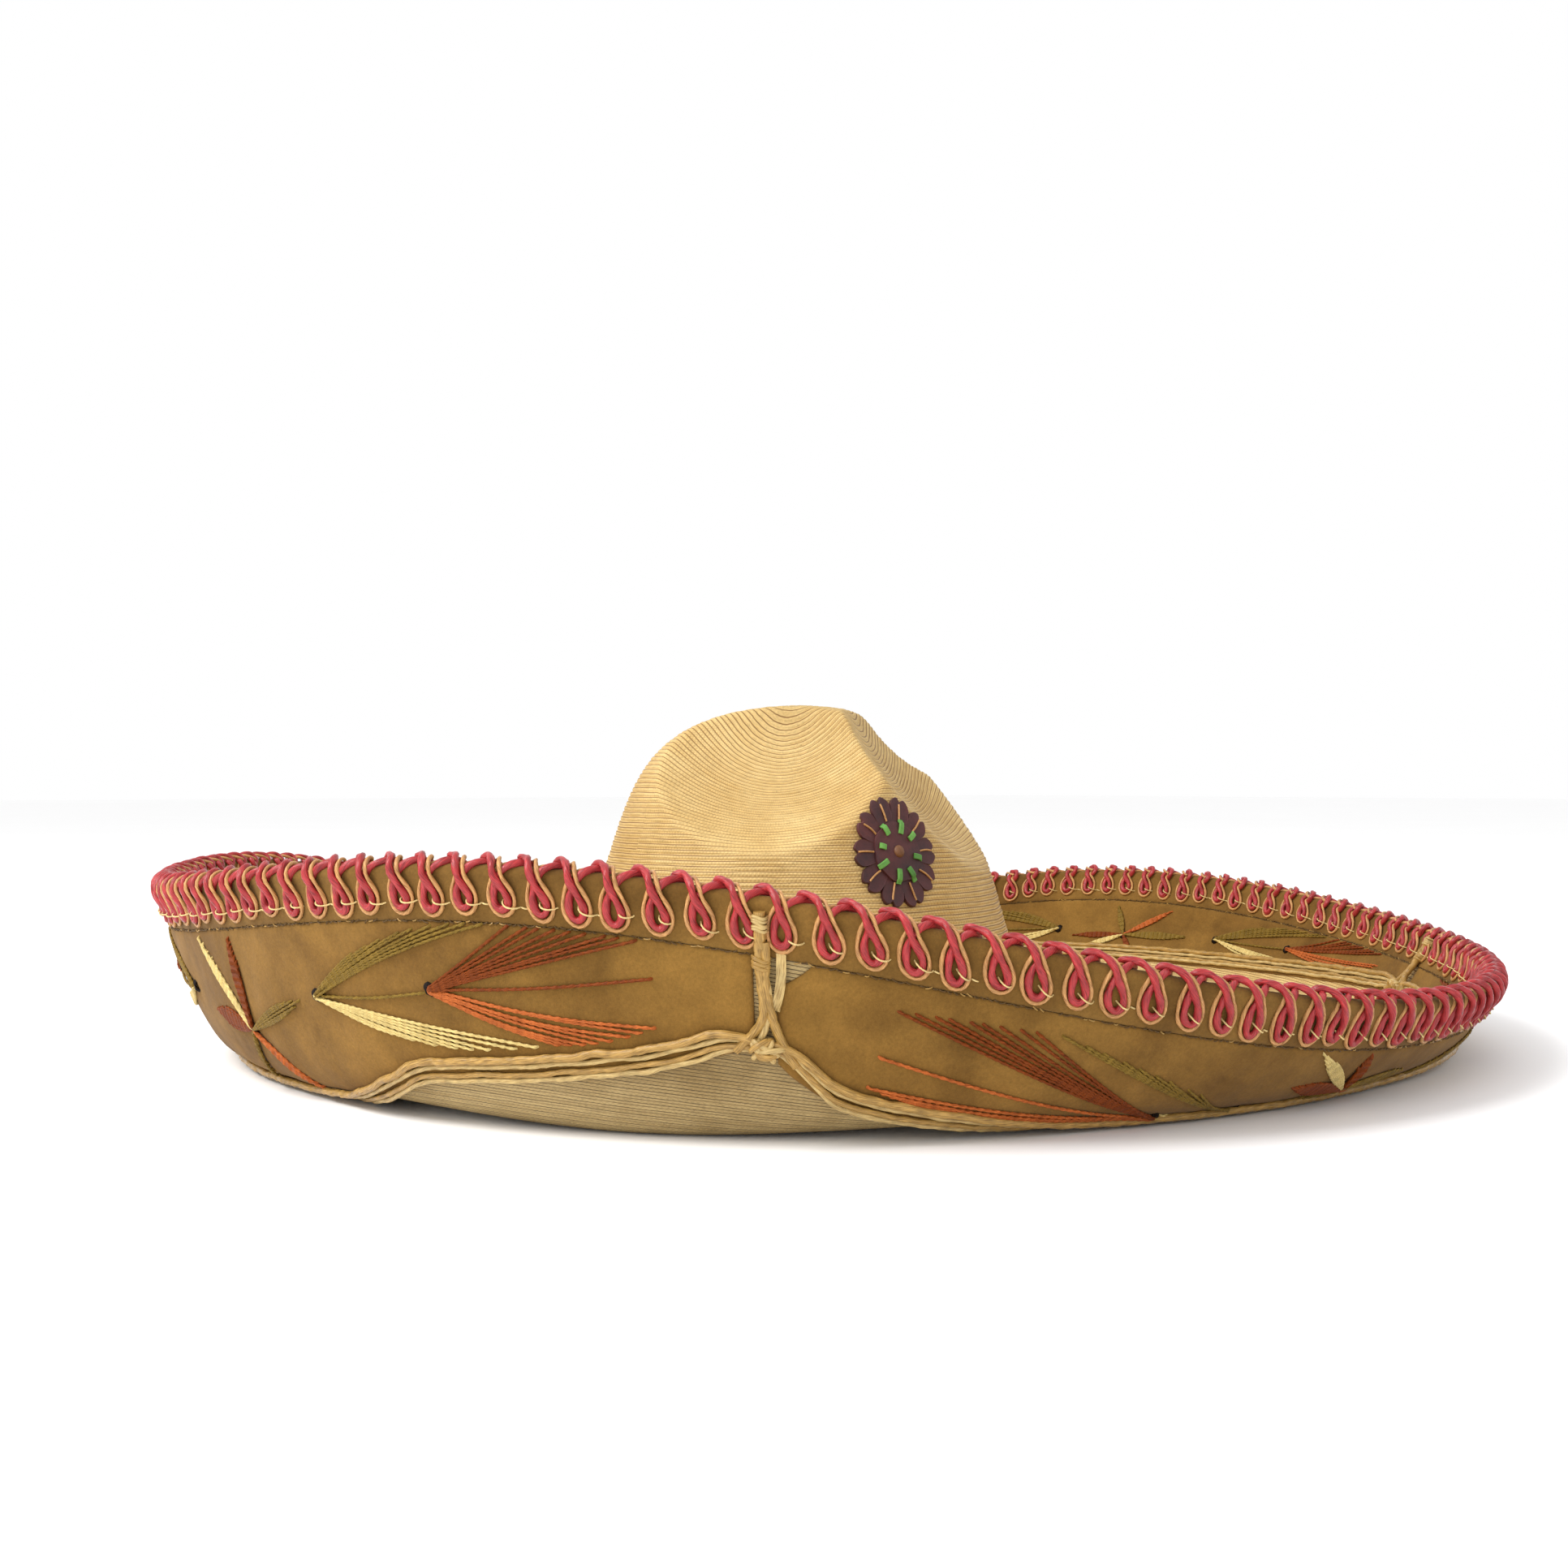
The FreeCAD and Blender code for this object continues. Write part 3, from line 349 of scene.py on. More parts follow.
def build(name, patches, materials, nodes, sharp=60.0):
    """One piece from patches, each (vertices, face groups) or (vertices, face groups, material)."""
    vertices = []
    indices = []
    uvs = []
    totals = []
    numbers = []
    count = 0
    for patch in patches:
        number = patch[2] if len(patch) > 2 else 0
        vertices.append(patch[0])
        for faces, corners in patch[1]:
            indices.append((faces + count).reshape(-1))
            uvs.append(corners.reshape(-1, 2))
            totals.append(np.full(len(faces), faces.shape[1]))
            numbers.append(np.full(len(faces), number))
        count += len(patch[0])
    vertices = np.concatenate(vertices) * MM
    vertices[:, 2] = np.maximum(vertices[:, 2], FLOOR_CLEARANCE * MM)
    indices = np.concatenate(indices)
    totals = np.concatenate(totals)
    mesh = bpy.data.meshes.new(name)
    mesh.vertices.add(len(vertices))
    mesh.vertices.foreach_set("co", vertices.reshape(-1))
    mesh.loops.add(len(indices))
    mesh.loops.foreach_set("vertex_index", indices)
    mesh.polygons.add(len(totals))
    mesh.polygons.foreach_set("loop_start", np.concatenate([[0], np.cumsum(totals)[:-1]]))
    mesh.polygons.foreach_set("loop_total", totals)
    mesh.polygons.foreach_set("material_index", np.concatenate(numbers))
    mesh.polygons.foreach_set("use_smooth", np.ones(len(totals), bool))
    layer = mesh.uv_layers.new(name="millimetres")
    layer.data.foreach_set("uv", np.concatenate(uvs).reshape(-1))
    mesh.update(calc_edges=True)
    mesh.validate()
    mesh.set_sharp_from_angle(angle=math.radians(sharp))
    for item in materials:
        mesh.materials.append(item)
    piece = add_object(name, mesh)
    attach(piece, BODY)
    if nodes:
        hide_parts(*nodes)
    return piece


def ripple(x, y, wavelength, seed):
    """Smooth seeded noise, about -1 to 1: a few plane waves added up."""
    source = np.random.default_rng(seed)
    total = 0
    for _ in range(7):
        angle = source.uniform(0, 2 * math.pi)
        size = 2 * math.pi / (wavelength * source.uniform(0.7, 1.6))
        phase = source.uniform(0, 2 * math.pi)
        total = total + np.cos((x * math.cos(angle) + y * math.sin(angle)) * size + phase)
    return total / 3.5


def spline(controls, samples):
    """Points along a cubic B-spline; the outer control rows lie beyond its ends."""
    t = np.arange(samples)[:, None] / samples
    weights = [
        (1 - t) ** 3 / 6, (3 * t ** 3 - 6 * t ** 2 + 4) / 6,
        (-3 * t ** 3 + 3 * t ** 2 + 3 * t + 1) / 6, t ** 3 / 6,
    ]
    return np.concatenate([
        sum(w * controls[i + k] for k, w in enumerate(weights)) for i in range(len(controls) - 3)
    ])


def smooth_path(controls, samples):
    """A smooth open path near the control rows, from the first one to the last."""
    controls = np.asarray(controls, float)
    before = 2 * controls[:1] - controls[1:2]
    after = 2 * controls[-1:] - controls[-2:-1]
    path = spline(np.concatenate([before, controls, after]), samples)
    return np.concatenate([path, controls[-1:]])


# ---------------------------------------------------------------- material nodes
def srgb(red, green, blue):
    def linear(value):
        value /= 255
        return value / 12.92 if value <= 0.04045 else ((value + 0.055) / 1.055) ** 2.4

    return (linear(red), linear(green), linear(blue), 1.0)


class Finish:
    """A material under construction: one Principled shader and the nodes that feed it."""

    def __init__(self, name, roughness=0.8, **constants):
        self.material = bpy.data.materials.new(name)
        self.material.use_nodes = True
        self.tree = self.material.node_tree
        self.shader = self.tree.nodes["Principled BSDF"]
        self.shader.inputs["Roughness"].default_value = roughness
        for key, value in constants.items():
            self.shader.inputs[key.replace("_", " ")].default_value = value

    def add(self, kind, inputs=(), output=0, **settings):
        node = self.tree.nodes.new(kind)
        for key, value in settings.items():
            setattr(node, key, value)
        for key, value in dict(inputs).items():
            if isinstance(value, bpy.types.NodeSocket):
                self.tree.links.new(value, node.inputs[key])
            else:
                node.inputs[key].default_value = value
        return node.outputs[output]

    def place(self):
        """Coordinates in metres, fixed to the piece."""
        return self.add("ShaderNodeTexCoord", output="Object")

    def split_uv(self):
        uv = self.add("ShaderNodeUVMap", uv_map="millimetres")
        node = self.tree.nodes.new("ShaderNodeSeparateXYZ")
        self.tree.links.new(uv, node.inputs[0])
        return node.outputs[0], node.outputs[1]

    def join(self, x, y, x_scale=1.0, y_scale=1.0):
        x = self.math("MULTIPLY", x, x_scale)
        y = self.math("MULTIPLY", y, y_scale)
        return self.add("ShaderNodeCombineXYZ", {0: x, 1: y})

    def math(self, operation, a, b=0.0, c=0.0):
        return self.add("ShaderNodeMath", {0: a, 1: b, 2: c}, operation=operation)

    def hump(self, x):
        """A round hump from each whole number to the next."""
        wave = self.math("SINE", self.math("MULTIPLY", x, math.pi))
        return self.math("ABSOLUTE", wave)

    def noise(self, vector, scale, detail=3.0, roughness=0.55, distortion=0.0):
        return self.add("ShaderNodeTexNoise", {
            "Vector": vector, "Scale": scale, "Detail": detail,
            "Roughness": roughness, "Distortion": distortion,
        })

    def ramp(self, factor, *stops):
        node = self.tree.nodes.new("ShaderNodeValToRGB")
        self.tree.links.new(factor, node.inputs[0])
        elements = node.color_ramp.elements
        while len(elements) < len(stops):
            elements.new(0.5)
        for element, (position, colour) in zip(elements, stops):
            element.position = position
            element.color = colour if len(colour) == 4 else (*colour, 1.0)
        return node.outputs[0]

    def mix(self, factor, a, b, blend="MIX"):
        return self.add("ShaderNodeMix", {0: factor, 6: a, 7: b}, output=2, data_type="RGBA",
                        blend_type=blend)

    def shade(self, colour, factor, amount, low, high, grey=0.7):
        """Darkens a colour where the factor is low."""
        tint = self.ramp(factor, (low, (grey,) * 3), (high, WHITE))
        return self.mix(amount, colour, tint, "MULTIPLY")

    def bump(self, height, distance_mm, strength=1.0, normal=None):
        inputs = {"Height": height, "Distance": distance_mm * MM, "Strength": strength}
        if normal is not None:
            inputs["Normal"] = normal
        return self.add("ShaderNodeBump", inputs)

    def finish(self, colour=None, normal=None, roughness=None):
        for key, value in (("Base Color", colour), ("Normal", normal), ("Roughness", roughness)):
            if value is not None:
                self.tree.links.new(value, self.shader.inputs[key])
        return self.material


WHITE = (1.0, 1.0, 1.0)
BLACK = (0.0, 0.0, 0.0)
STRAND_WIDTH = 2.1
STRAND_SLANT = 0.9


def straw_material(name, light, dark, valley_shade, pitch, groove_shade_depth):
    """Sewn rows of palm braid: UV v runs up the rows, u along them. The valley shade colour is
    painted shade in the grooves between rows.
    """
    f = Finish(name, roughness=0.62, Specular_IOR_Level=0.35)
    u, v = f.split_uv()
    wander = f.noise(f.join(u, v, 0.03, 0.05), 1.0, 2.0)
    row = f.math("MULTIPLY_ADD", wander, 0.6, f.math("DIVIDE", v, pitch))
    number = f.math("FLOOR", row)
    inside = f.math("SUBTRACT", row, number)
    hump = f.hump(inside)
    row_tint = f.add("ShaderNodeTexWhiteNoise", {"W": number}, noise_dimensions="1D")
    strands = f.math("DIVIDE", u, STRAND_WIDTH)
    forward = f.math("MULTIPLY_ADD", inside, STRAND_SLANT, strands)
    forward = f.math("MULTIPLY_ADD", row_tint, 7.0, forward)
    back = f.math("MULTIPLY_ADD", inside, -STRAND_SLANT, strands)
    weave = f.math("MULTIPLY", f.hump(forward), f.hump(back))
    streak = f.noise(f.join(u, v, 0.12, 1.9), 1.0, 4.0)
    age = f.noise(f.place(), 26.0, 4.0, 0.6)
    speck = f.noise(f.place(), 900.0, 2.0)
    colour = f.ramp(age, (0.32, dark), (0.62, light))
    colour = f.mix(f.math("MULTIPLY", row_tint, 0.35), colour, dark)
    colour = f.shade(colour, streak, 0.8, 0.3, 0.62)
    # painted shade where the woven strands meet, in the low parts of the weave
    colour = f.shade(colour, weave, 0.55, 0.0, 0.45)
    colour = f.shade(colour, speck, 0.6, 0.3, 0.42)
    # painted shade: the grooves between rows take the dark valley shade colour
    groove = f.ramp(hump, (0.08, WHITE), (0.5, BLACK))
    colour = f.mix(f.math("MULTIPLY", groove, groove_shade_depth), colour, valley_shade)
    height = f.math("MULTIPLY_ADD", weave, 0.5, f.math("MULTIPLY", hump, 0.6))
    height = f.math("MULTIPLY_ADD", streak, 0.7, height)
    return f.finish(colour, f.bump(height, 0.28, 0.8))


def suede_material(name, light, dark):
    f = Finish(name, roughness=0.92, Specular_IOR_Level=0.1, Sheen_Weight=0.06,
               Sheen_Roughness=0.5)
    place = f.place()
    blotch = f.noise(place, 22.0, 5.0, 0.62, 0.4)
    rub = f.noise(place, 85.0, 4.0, 0.6)
    nap = f.noise(place, 900.0, 3.0, 0.7)
    pores = f.noise(place, 2600.0, 2.0, 0.6)
    colour = f.ramp(blotch, (0.3, dark), (0.66, light))
    colour = f.shade(colour, rub, 0.9, 0.28, 0.6, 0.8)
    colour = f.shade(colour, nap, 0.75, 0.3, 0.7)
    colour = f.shade(colour, pores, 0.6, 0.3, 0.6, 0.8)
    height = f.math("MULTIPLY_ADD", pores, 0.5, f.math("MULTIPLY", nap, 0.8))
    fine = f.bump(height, 0.16, 0.7)
    return f.finish(colour, f.bump(rub, 1.2, 0.35, fine))


def yarn_material(name, light, dark, roughness, twist=1.1, shine=0.35):
    """Spun yarn: fine fibres wind round the cord, with painted shade in the dark colour where they
    dip.
    """
    f = Finish(name, roughness=roughness, Specular_IOR_Level=shine)
    around, along = f.split_uv()
    winding = f.math("MULTIPLY_ADD", along, twist, f.math("MULTIPLY", around, 3.0))
    fibre = f.noise(f.join(winding, along, 1.0, 0.12), 1.6, 3.0)
    fleck = f.noise(f.place(), 260.0, 3.0)
    colour = f.ramp(fibre, (0.32, dark), (0.6, light))
    colour = f.shade(colour, fleck, 0.8, 0.32, 0.6)
    return f.finish(colour, f.bump(fibre, 0.22, 0.6))


def leather_material(name, light, dark, roughness):
    f = Finish(name, roughness=roughness, Specular_IOR_Level=0.45)
    place = f.place()
    blotch = f.noise(place, 60.0, 4.0, 0.6)
    crease = f.noise(place, 420.0, 4.0, 0.65, 0.6)
    scuff = f.noise(place, 150.0, 5.0, 0.7, 1.2)
    colour = f.ramp(blotch, (0.32, dark), (0.66, light))
    # painted shade in the creases, where the crease bump is low
    colour = f.shade(colour, crease, 0.7, 0.32, 0.55)
    worn = f.ramp(scuff, (0.66, BLACK), (0.76, (0.6,) * 3))
    colour = f.mix(worn, colour, tuple(min(1.0, c * 1.9) for c in light[:3]) + (1.0,))
    dull = min(1.0, roughness + 0.2)
    rough = f.ramp(blotch, (0.3, (roughness,) * 3), (0.7, (dull,) * 3))
    return f.finish(colour, f.bump(crease, 0.2, 0.55), rough)


def metal_material(name):
    f = Finish(name, roughness=0.35, Metallic=1.0)
    scratch = f.noise(f.place(), 700.0, 3.0)
    colour = f.ramp(scratch, (0.3, srgb(150, 145, 135)), (0.7, srgb(190, 186, 178)))
    return f.finish(colour, f.bump(scratch, 0.05, 0.4))


# The third colour of each straw is painted shade for the grooves between its rows.
CROWN_STRAW = straw_material(
    "crown_straw_braid", srgb(230, 199, 136), srgb(206, 169, 102), srgb(112, 72, 24),
    BRAID_PITCH, 0.95)
BRIM_STRAW = straw_material(
    "brim_straw_braid", srgb(190, 164, 112), srgb(146, 120, 72), srgb(48, 32, 12),
    BRAID_PITCH / 2, 1.0)
SUEDE_FINISH = suede_material("brown_suede", srgb(146, 108, 50), srgb(108, 76, 32))
BINDING_FINISH = suede_material("brown_suede_binding", srgb(140, 104, 50), srgb(102, 72, 32))
# The dark colour of each yarn below is painted shade in the dips of its twist.
PINK = yarn_material("pink_yarn", srgb(188, 58, 60), srgb(98, 12, 20), 0.28)
TAN = yarn_material("tan_yarn", srgb(212, 160, 100), srgb(140, 88, 42), 0.4)
GOLD = yarn_material("gold_satin_cord", srgb(192, 152, 82), srgb(112, 80, 32), 0.3, 0.25)
PALE_GOLD = yarn_material("pale_satin_cord", srgb(212, 184, 122), srgb(146, 112, 58), 0.36, 0.25)
CREAM = yarn_material("sewing_thread", srgb(232, 208, 146), srgb(196, 160, 92), 0.5)
# real seam stitches whose dark brown colour is painted shadow along the binding's lips
SEAM_SHADOW_THREAD = yarn_material("seam_thread_painted_shadow", srgb(104, 76, 34), srgb(58, 38, 14), 0.6)
# light colour and painted-shade dark colour of each embroidery thread
THREAD_COLOURS = {
    "rust": (srgb(134, 64, 18), srgb(78, 30, 6)),
    "orange": (srgb(196, 106, 50), srgb(128, 58, 20)),
    "olive": (srgb(140, 112, 44), srgb(76, 54, 14)),
    "cream": (srgb(226, 204, 136), srgb(172, 140, 74)),
    "black": (srgb(30, 18, 12), srgb(10, 6, 4)),
}
THREADS = {
    name: yarn_material(f"{name}_thread", light, dark, 0.5, shine=0.12)
    for name, (light, dark) in THREAD_COLOURS.items()
}
THREAD_NAMES = list(THREADS)
MAROON = leather_material("maroon_leather", srgb(88, 42, 42), srgb(54, 22, 26), 0.5)
GREEN = leather_material("green_leather", srgb(112, 172, 78), srgb(74, 128, 50), 0.5)
STUD = leather_material("stud_leather", srgb(128, 84, 48), srgb(84, 50, 28), 0.45)
BAND = leather_material("sweatband_leather_brown", srgb(128, 88, 52), srgb(92, 58, 32), 0.48)
WIRE = metal_material("spring_wire_steel")


# ---------------------------------------------------------------- straw body
CROWN_COLUMNS = 420
BRIM_COLUMNS = 480
FINE_STEPS = 5  # points across one row of the crown's braid


def ridges(places, columns, seed):
    """Height of the braid's rounded rows, a little uneven from row to row."""
    number = np.floor(places / BRAID_PITCH)
    inside = places / BRAID_PITCH - number
    rows = np.random.default_rng(seed).uniform(-0.08, 0.08, int(number.max()) + 2)
    hump = 0.46 * np.sqrt(np.abs(np.sin(math.pi * inside))) + rows[number.astype(int)]
    around = circle(columns)[:-1]
    wobble = 0.06 * np.cos(around[None, :] * 9 + number[:, None] * 1.7)
    return hump[:, None] + wobble * np.sin(math.pi * inside)[:, None] - 0.3


def crown_skin(places, depth):
    """Rings of points on the crown at distances up its profile, moved out by a depth."""
    radii, heights = crown_profile()
    lengths = np.concatenate([[0.0], np.cumsum(np.hypot(np.diff(radii), np.diff(heights)))])
    radius = np.interp(places, lengths, radii)[:, None]
    height = np.interp(places, lengths, heights)[:, None]
    azimuths = np.degrees(circle(CROWN_COLUMNS)[:-1])
    base = crown_points(azimuths[None, :], radius, height)
    around = np.roll(base, -1, 1) - np.roll(base, 1, 1)
    normal = np.cross(around, np.gradient(base, axis=0))
    normal /= np.maximum(np.linalg.norm(normal, axis=-1), 1e-9)[..., None]
    return base + normal * depth[..., None]


def closed_top(points, marks, girth, flip):
    """A crown face from its rings, closed over the middle of the top."""
    vertices, faces = grid(points, marks, girth, wrap_columns=True, flip=flip)
    last = (len(points) - 1) * CROWN_COLUMNS + np.arange(CROWN_COLUMNS)
    middle = np.full(CROWN_COLUMNS, len(vertices))
    fan = np.stack([last, np.roll(last, -1), middle], -1)
    uvs = np.zeros((CROWN_COLUMNS, 3, 2))
    uvs[..., 1] = marks[-1]
    centre = points[-1].mean(axis=0)[None]
    return np.concatenate([vertices, centre]), faces + [(fan[:, ::-1] if flip else fan, uvs)]


def make_crown():
    """Outer face with its braid rows, inner face, and the foot that joins them."""
    radii, heights = crown_profile()
    length = float(np.hypot(np.diff(radii), np.diff(heights)).sum())
    places = np.arange(0, length, BRAID_PITCH / FINE_STEPS)
    outer = crown_skin(places, ridges(places, CROWN_COLUMNS, 3))
    inner_places = places[::FINE_STEPS]
    inner = crown_skin(inner_places, np.full((len(inner_places), CROWN_COLUMNS), -STRAW))
    inner[0, :, 2] = CROWN_FOOT_HEIGHT
    inner[0, :, :2] = outer[0, :, :2]
    girth = MEAN_RADIUS * circle(CROWN_COLUMNS)
    foot = np.stack([inner[0], outer[0]])
    patches = [
        closed_top(outer, places, girth, False),
        closed_top(inner, inner_places, girth, True),
        grid(foot, np.array([0.0, STRAW]), girth, wrap_columns=True),
    ]
    build("crown_braid", patches, [CROWN_STRAW], ["crown_straw"])


def make_brim():
    """Two faces of sewn braid rows from the cut edge to the crown, the lower one in a darker straw
    finish.
    """
    azimuths = np.degrees(circle(BRIM_COLUMNS)[:-1])
    ends = by_azimuth(BRIM_ENDS, azimuths)
    reach = float(ends.mean()) - STRAW_EDGE
    places = np.append(np.arange(0, reach, BRAID_PITCH / 4), reach)
    share = (places / reach)[:, None]
    drops = STRAW_EDGE + (ends[None, :] - STRAW_EDGE) * share
    relief = np.minimum(ridges(places, BRIM_COLUMNS, 5), 0.0)
    lower = brim(azimuths[None, :], drops, -relief)
    upper = brim(azimuths[None, :], drops, STRAW + relief)
    girth = BRIM_RADIUS * circle(BRIM_COLUMNS)
    patches = shell(upper, lower, places, girth, STRAW, flip=False)
    patches[0] = (*patches[0], 1)
    build("brim_braid", patches, [BRIM_STRAW, CROWN_STRAW], ["brim_straw"])


# ---------------------------------------------------------------- rim binding
BINDING_COLUMNS = 720
# distance over the surface from the rim's crest to either lip of the binding
BINDING_REACH = BINDING_HALF * math.pi / 2 + BINDING_WIDTH - BINDING_HALF
PUCKER = 0.13
TURNED_IN = 0.35


def make_binding():
    """A folded suede strip over the rim, with soft puckers and turned-in lips."""
    azimuths = np.degrees(circle(BINDING_COLUMNS)[:-1])
    across = np.linspace(-BINDING_REACH, BINDING_REACH, 49)
    pucker = ripple(azimuths[None, :] * ARC_SCALE, across[:, None], 16.0, 11)
    edge = np.clip((BINDING_REACH - np.abs(across)) / SUEDE, 0, 1)[:, None]
    lift = PUCKER * pucker * edge - TURNED_IN * (1 - edge) ** 2
    outer = over_rim(azimuths[None, :], across[:, None], lift)
    inner = over_rim(azimuths[None, :], across[:, None], -SUEDE)
    girth = BRIM_RADIUS * circle(BINDING_COLUMNS)
    patches = shell(outer, inner, across, girth, SUEDE, flip=True)
    piece = build("suede_binding", patches, [BINDING_FINISH], ["edge_binding"])


def on_rim(path):
    """Points and ways out for (along the rim, over the rim, lift) rows."""
    azimuth = np.degrees(path[:, 0] / BRIM_RADIUS)
    points = over_rim(azimuth, path[:, 1], path[:, 2])
    return points, over_rim(azimuth, path[:, 1], path[:, 2] + 1.0) - points


# ---------------------------------------------------------------- edging cords
RIM_LENGTH = 2 * math.pi * BRIM_RADIUS
LOOP_PITCH = RIM_LENGTH / LOOP_COUNT
# One turn of the edging cord: down the underside, round the loop's foot, back up under itself,
# over the crest and through a mirrored loop on the topside. (along, over the rim, lift)
LOOP_TURN = [
    (-9.0, -1.7, 2.2), (-7.6, -0.9, 2.6), (-5.8, -0.7, 2.6), (-4.0, 0.1, 2.5), (-2.3, 2.0, 2.4),
    (-0.6, 4.9, 2.7), (1.3, 8.2, 2.2), (2.7, 11.3, 1.2), (2.4, 14.2, 1.05), (0.3, 15.9, 1.05),
    (-2.0, 14.4, 1.05), (-2.6, 11.2, 1.05), (-2.0, 7.8, 0.8), (-0.7, 4.9, 0.6), (1.2, 2.5, 0.7),
    (3.6, 0.9, 0.9), (6.4, -0.9, 0.95), (9.0, -2.9, 1.2), (9.0, -5.4, 2.6), (6.8, -8.5, 1.9),
    (5.4, -11.6, 1.05), (6.3, -14.7, 1.05), (8.6, -15.6, 1.05), (10.2, -13.0, 1.05),
    (10.0, -9.7, 1.0), (8.6, -7.0, 0.7), (6.2, -5.0, 0.7), (3.9, -3.4, 1.5),
]


def loop_place(number):
    """Distance along the rim at which a loop is centred."""
    return number * LOOP_PITCH + math.radians(FIRST_LOOP_AT) * BRIM_RADIUS


def edging_path():
    """The whole edging in one closed path, each turn a little different from the next."""
    rows = []
    for number in range(LOOP_COUNT):
        shift, stretch, widen, lean = random.uniform(-1, 1, 4)
        for along, over, lift in LOOP_TURN:
            weight = min(abs(over) / 8.0, 1.0)
            local = along - (0.3 if over > 0 else 7.7)
            along += weight * (0.5 * shift + 0.09 * widen * local + 0.05 * lean * over)
            rows.append((loop_place(number) + along, over * (1 + 0.07 * stretch), lift))
    turn = np.array([RIM_LENGTH, 0, 0])
    rows = np.array(rows)
    return spline(np.concatenate([rows[-1:] - turn, rows, rows[:2] + turn]), 3)


def make_edging():
    """A pink cord and a thin tan cord beside it, looped over the rim all the way round."""
    pink = edging_path()
    ahead = np.roll(pink, -1, 0) - np.roll(pink, 1, 0)
    ahead[[0, -1], 0] += RIM_LENGTH
    ahead /= np.hypot(ahead[:, 0], ahead[:, 1])[:, None]
    tan = pink.copy()
    beside = PINK_RADIUS + TAN_RADIUS
    tan[:, 0] += ahead[:, 1] * beside
    tan[:, 1] -= ahead[:, 0] * beside
    tan[:, 2] -= 0.8 * (PINK_RADIUS - TAN_RADIUS)
    for colour, path, radius, finish in (
        ("pink", pink, PINK_RADIUS, PINK), ("tan", tan, TAN_RADIUS, TAN),
    ):
        cord = tube(*on_rim(path), radius, 10, True, ply_pitch=9.0, groove=0.32)
        build(f"edging_{colour}", [cord], [finish], [f"rim_loops_{colour}"])


# along the rim from the loop's leg, over the rim, lift
TACK = [
    (0.0, 11.9, 0.1), (0.4, 12.4, 1.9), (1.6, 13.1, 2.9), (3.2, 13.5, 2.6), (4.6, 13.5, 1.0),
    (5.2, 13.2, 0.0),
]
SPARE_STITCH = [(0.4, 0.0, 0.1), (0.9, 0.1, 0.45), (1.7, 0.3, 0.45), (2.3, 0.4, 0.0)]


def make_tacks():
    """A cream stitch across the foot of every loop, and here and there one more beside it."""
    patches = []
    for number in range(LOOP_COUNT):
        for side, centre, hand in ((1, 0.5, 1), (-1, 7.6, -1)):
            slope, reach, more = random.uniform(0, 1, 3)
            path = np.array(TACK)
            path[:, 1] += path[:, 0] * 0.25 * (slope - 0.2)
            path[:, 0] *= 0.85 + 0.3 * reach
            path[:, 0] = loop_place(number) + centre + hand * path[:, 0]
            path[:, 1] *= side
            patches.append(tube(*on_rim(smooth_path(path, 3)), 0.32, 6, ply_pitch=1.4))
            if more < 0.3:
                stitch = path[-1] + np.array(SPARE_STITCH) * (hand, side, 1)
                patches.append(tube(*on_rim(smooth_path(stitch, 3)), 0.26, 6))
    build("edging_tacks", patches, [CREAM], ["rim_tacks"])


SEAM_PITCH = 2.1


def make_seam():
    """Small slanting stitches that hold the binding's two lips to the panels, most in a dark brown
    that is painted shadow along the lips.
    """
    patches = []
    for number in range(int(RIM_LENGTH / SEAM_PITCH)):
        for side in (1, -1):
            lean, size, colour, wander = random.uniform(-1, 1, 4)
            if size < -0.75:
                continue
            half = 0.8 + 0.3 * size
            path = np.array([
                (-half, -0.5 * lean, -0.15), (0.0, 0.1, 0.3), (half, 0.5 * lean, -0.15),
            ])
            path[:, 0] += number * SEAM_PITCH
            path[:, 1] = side * (BINDING_REACH + 0.15 + 0.25 * wander + path[:, 1])
            stitch = tube(*on_rim(smooth_path(path, 2)), 0.2, 5)
            # most stitches take the dark brown thread, painted shadow along the lip; the rest are
            # gold
            patches.append((*stitch, 0 if colour < 0.6 else 1))
    build("binding_stitches", patches, [SEAM_SHADOW_THREAD, GOLD], [])


# ---------------------------------------------------------------- suede panels
LOWER_EDGE = [
    (-45, 0.42), (-43.5, 0.53), (-42, 0.61), (-40, 0.70), (-37, 0.76), (-33.5, 0.82),
    (-30, 0.88), (-25, 0.97), (-20, 1.02), (3, 1.02), (10, 0.97), (16, 0.82),
    (19.5, 0.71), (29.5, 0.64), (37.8, 0.55), (43.2, 0.43), (45, 0.42),
]


def lower_edge(turn):
    """Depth of an underside panel's inner edge, by azimuth from the panel's middle."""
    turns, depths = zip(*LOWER_EDGE)
    return np.interp(turn, turns, depths)


def upper_edge(turn):
    """Depth of a topside panel's inner edge, by azimuth from the panel's middle."""
    return 0.72 - 0.30 * (np.asarray(turn) / CORNER_TURN) ** 2


FACES = {
    "underside": {"corner": 46.0, "edge": lower_edge, "skin": -GAP, "out": -1},
    "topside": {"corner": 144.0, "edge": upper_edge, "skin": STRAW + GAP, "out": 1},
}
PANEL_NAMES = ["front", "right", "back", "left"]
CORNER_TURN = 45.0  # from a panel's middle to its corners
PANEL_HALF = 44.3
PANEL_LENGTH = 440.0


def panel_middles(face):
    first = face["corner"] - CORNER_TURN
    first -= 90.0 * round(first / 90.0)
    return [(name, first + 90.0 * i) for i, name in enumerate(PANEL_NAMES)]


def on_face(face, azimuth, drop, layer):
    """Points a layer above the bare straw of one face of the brim."""
    return brim(azimuth, drop, face["skin"] + face["out"] * np.asarray(layer, float))


def face_path(face, azimuth, drop, lift):
    """Points above one face of the brim, and the way out at each."""
    points = on_face(face, azimuth, drop, lift)
    return points, on_face(face, azimuth, drop, lift + 1.0) - points


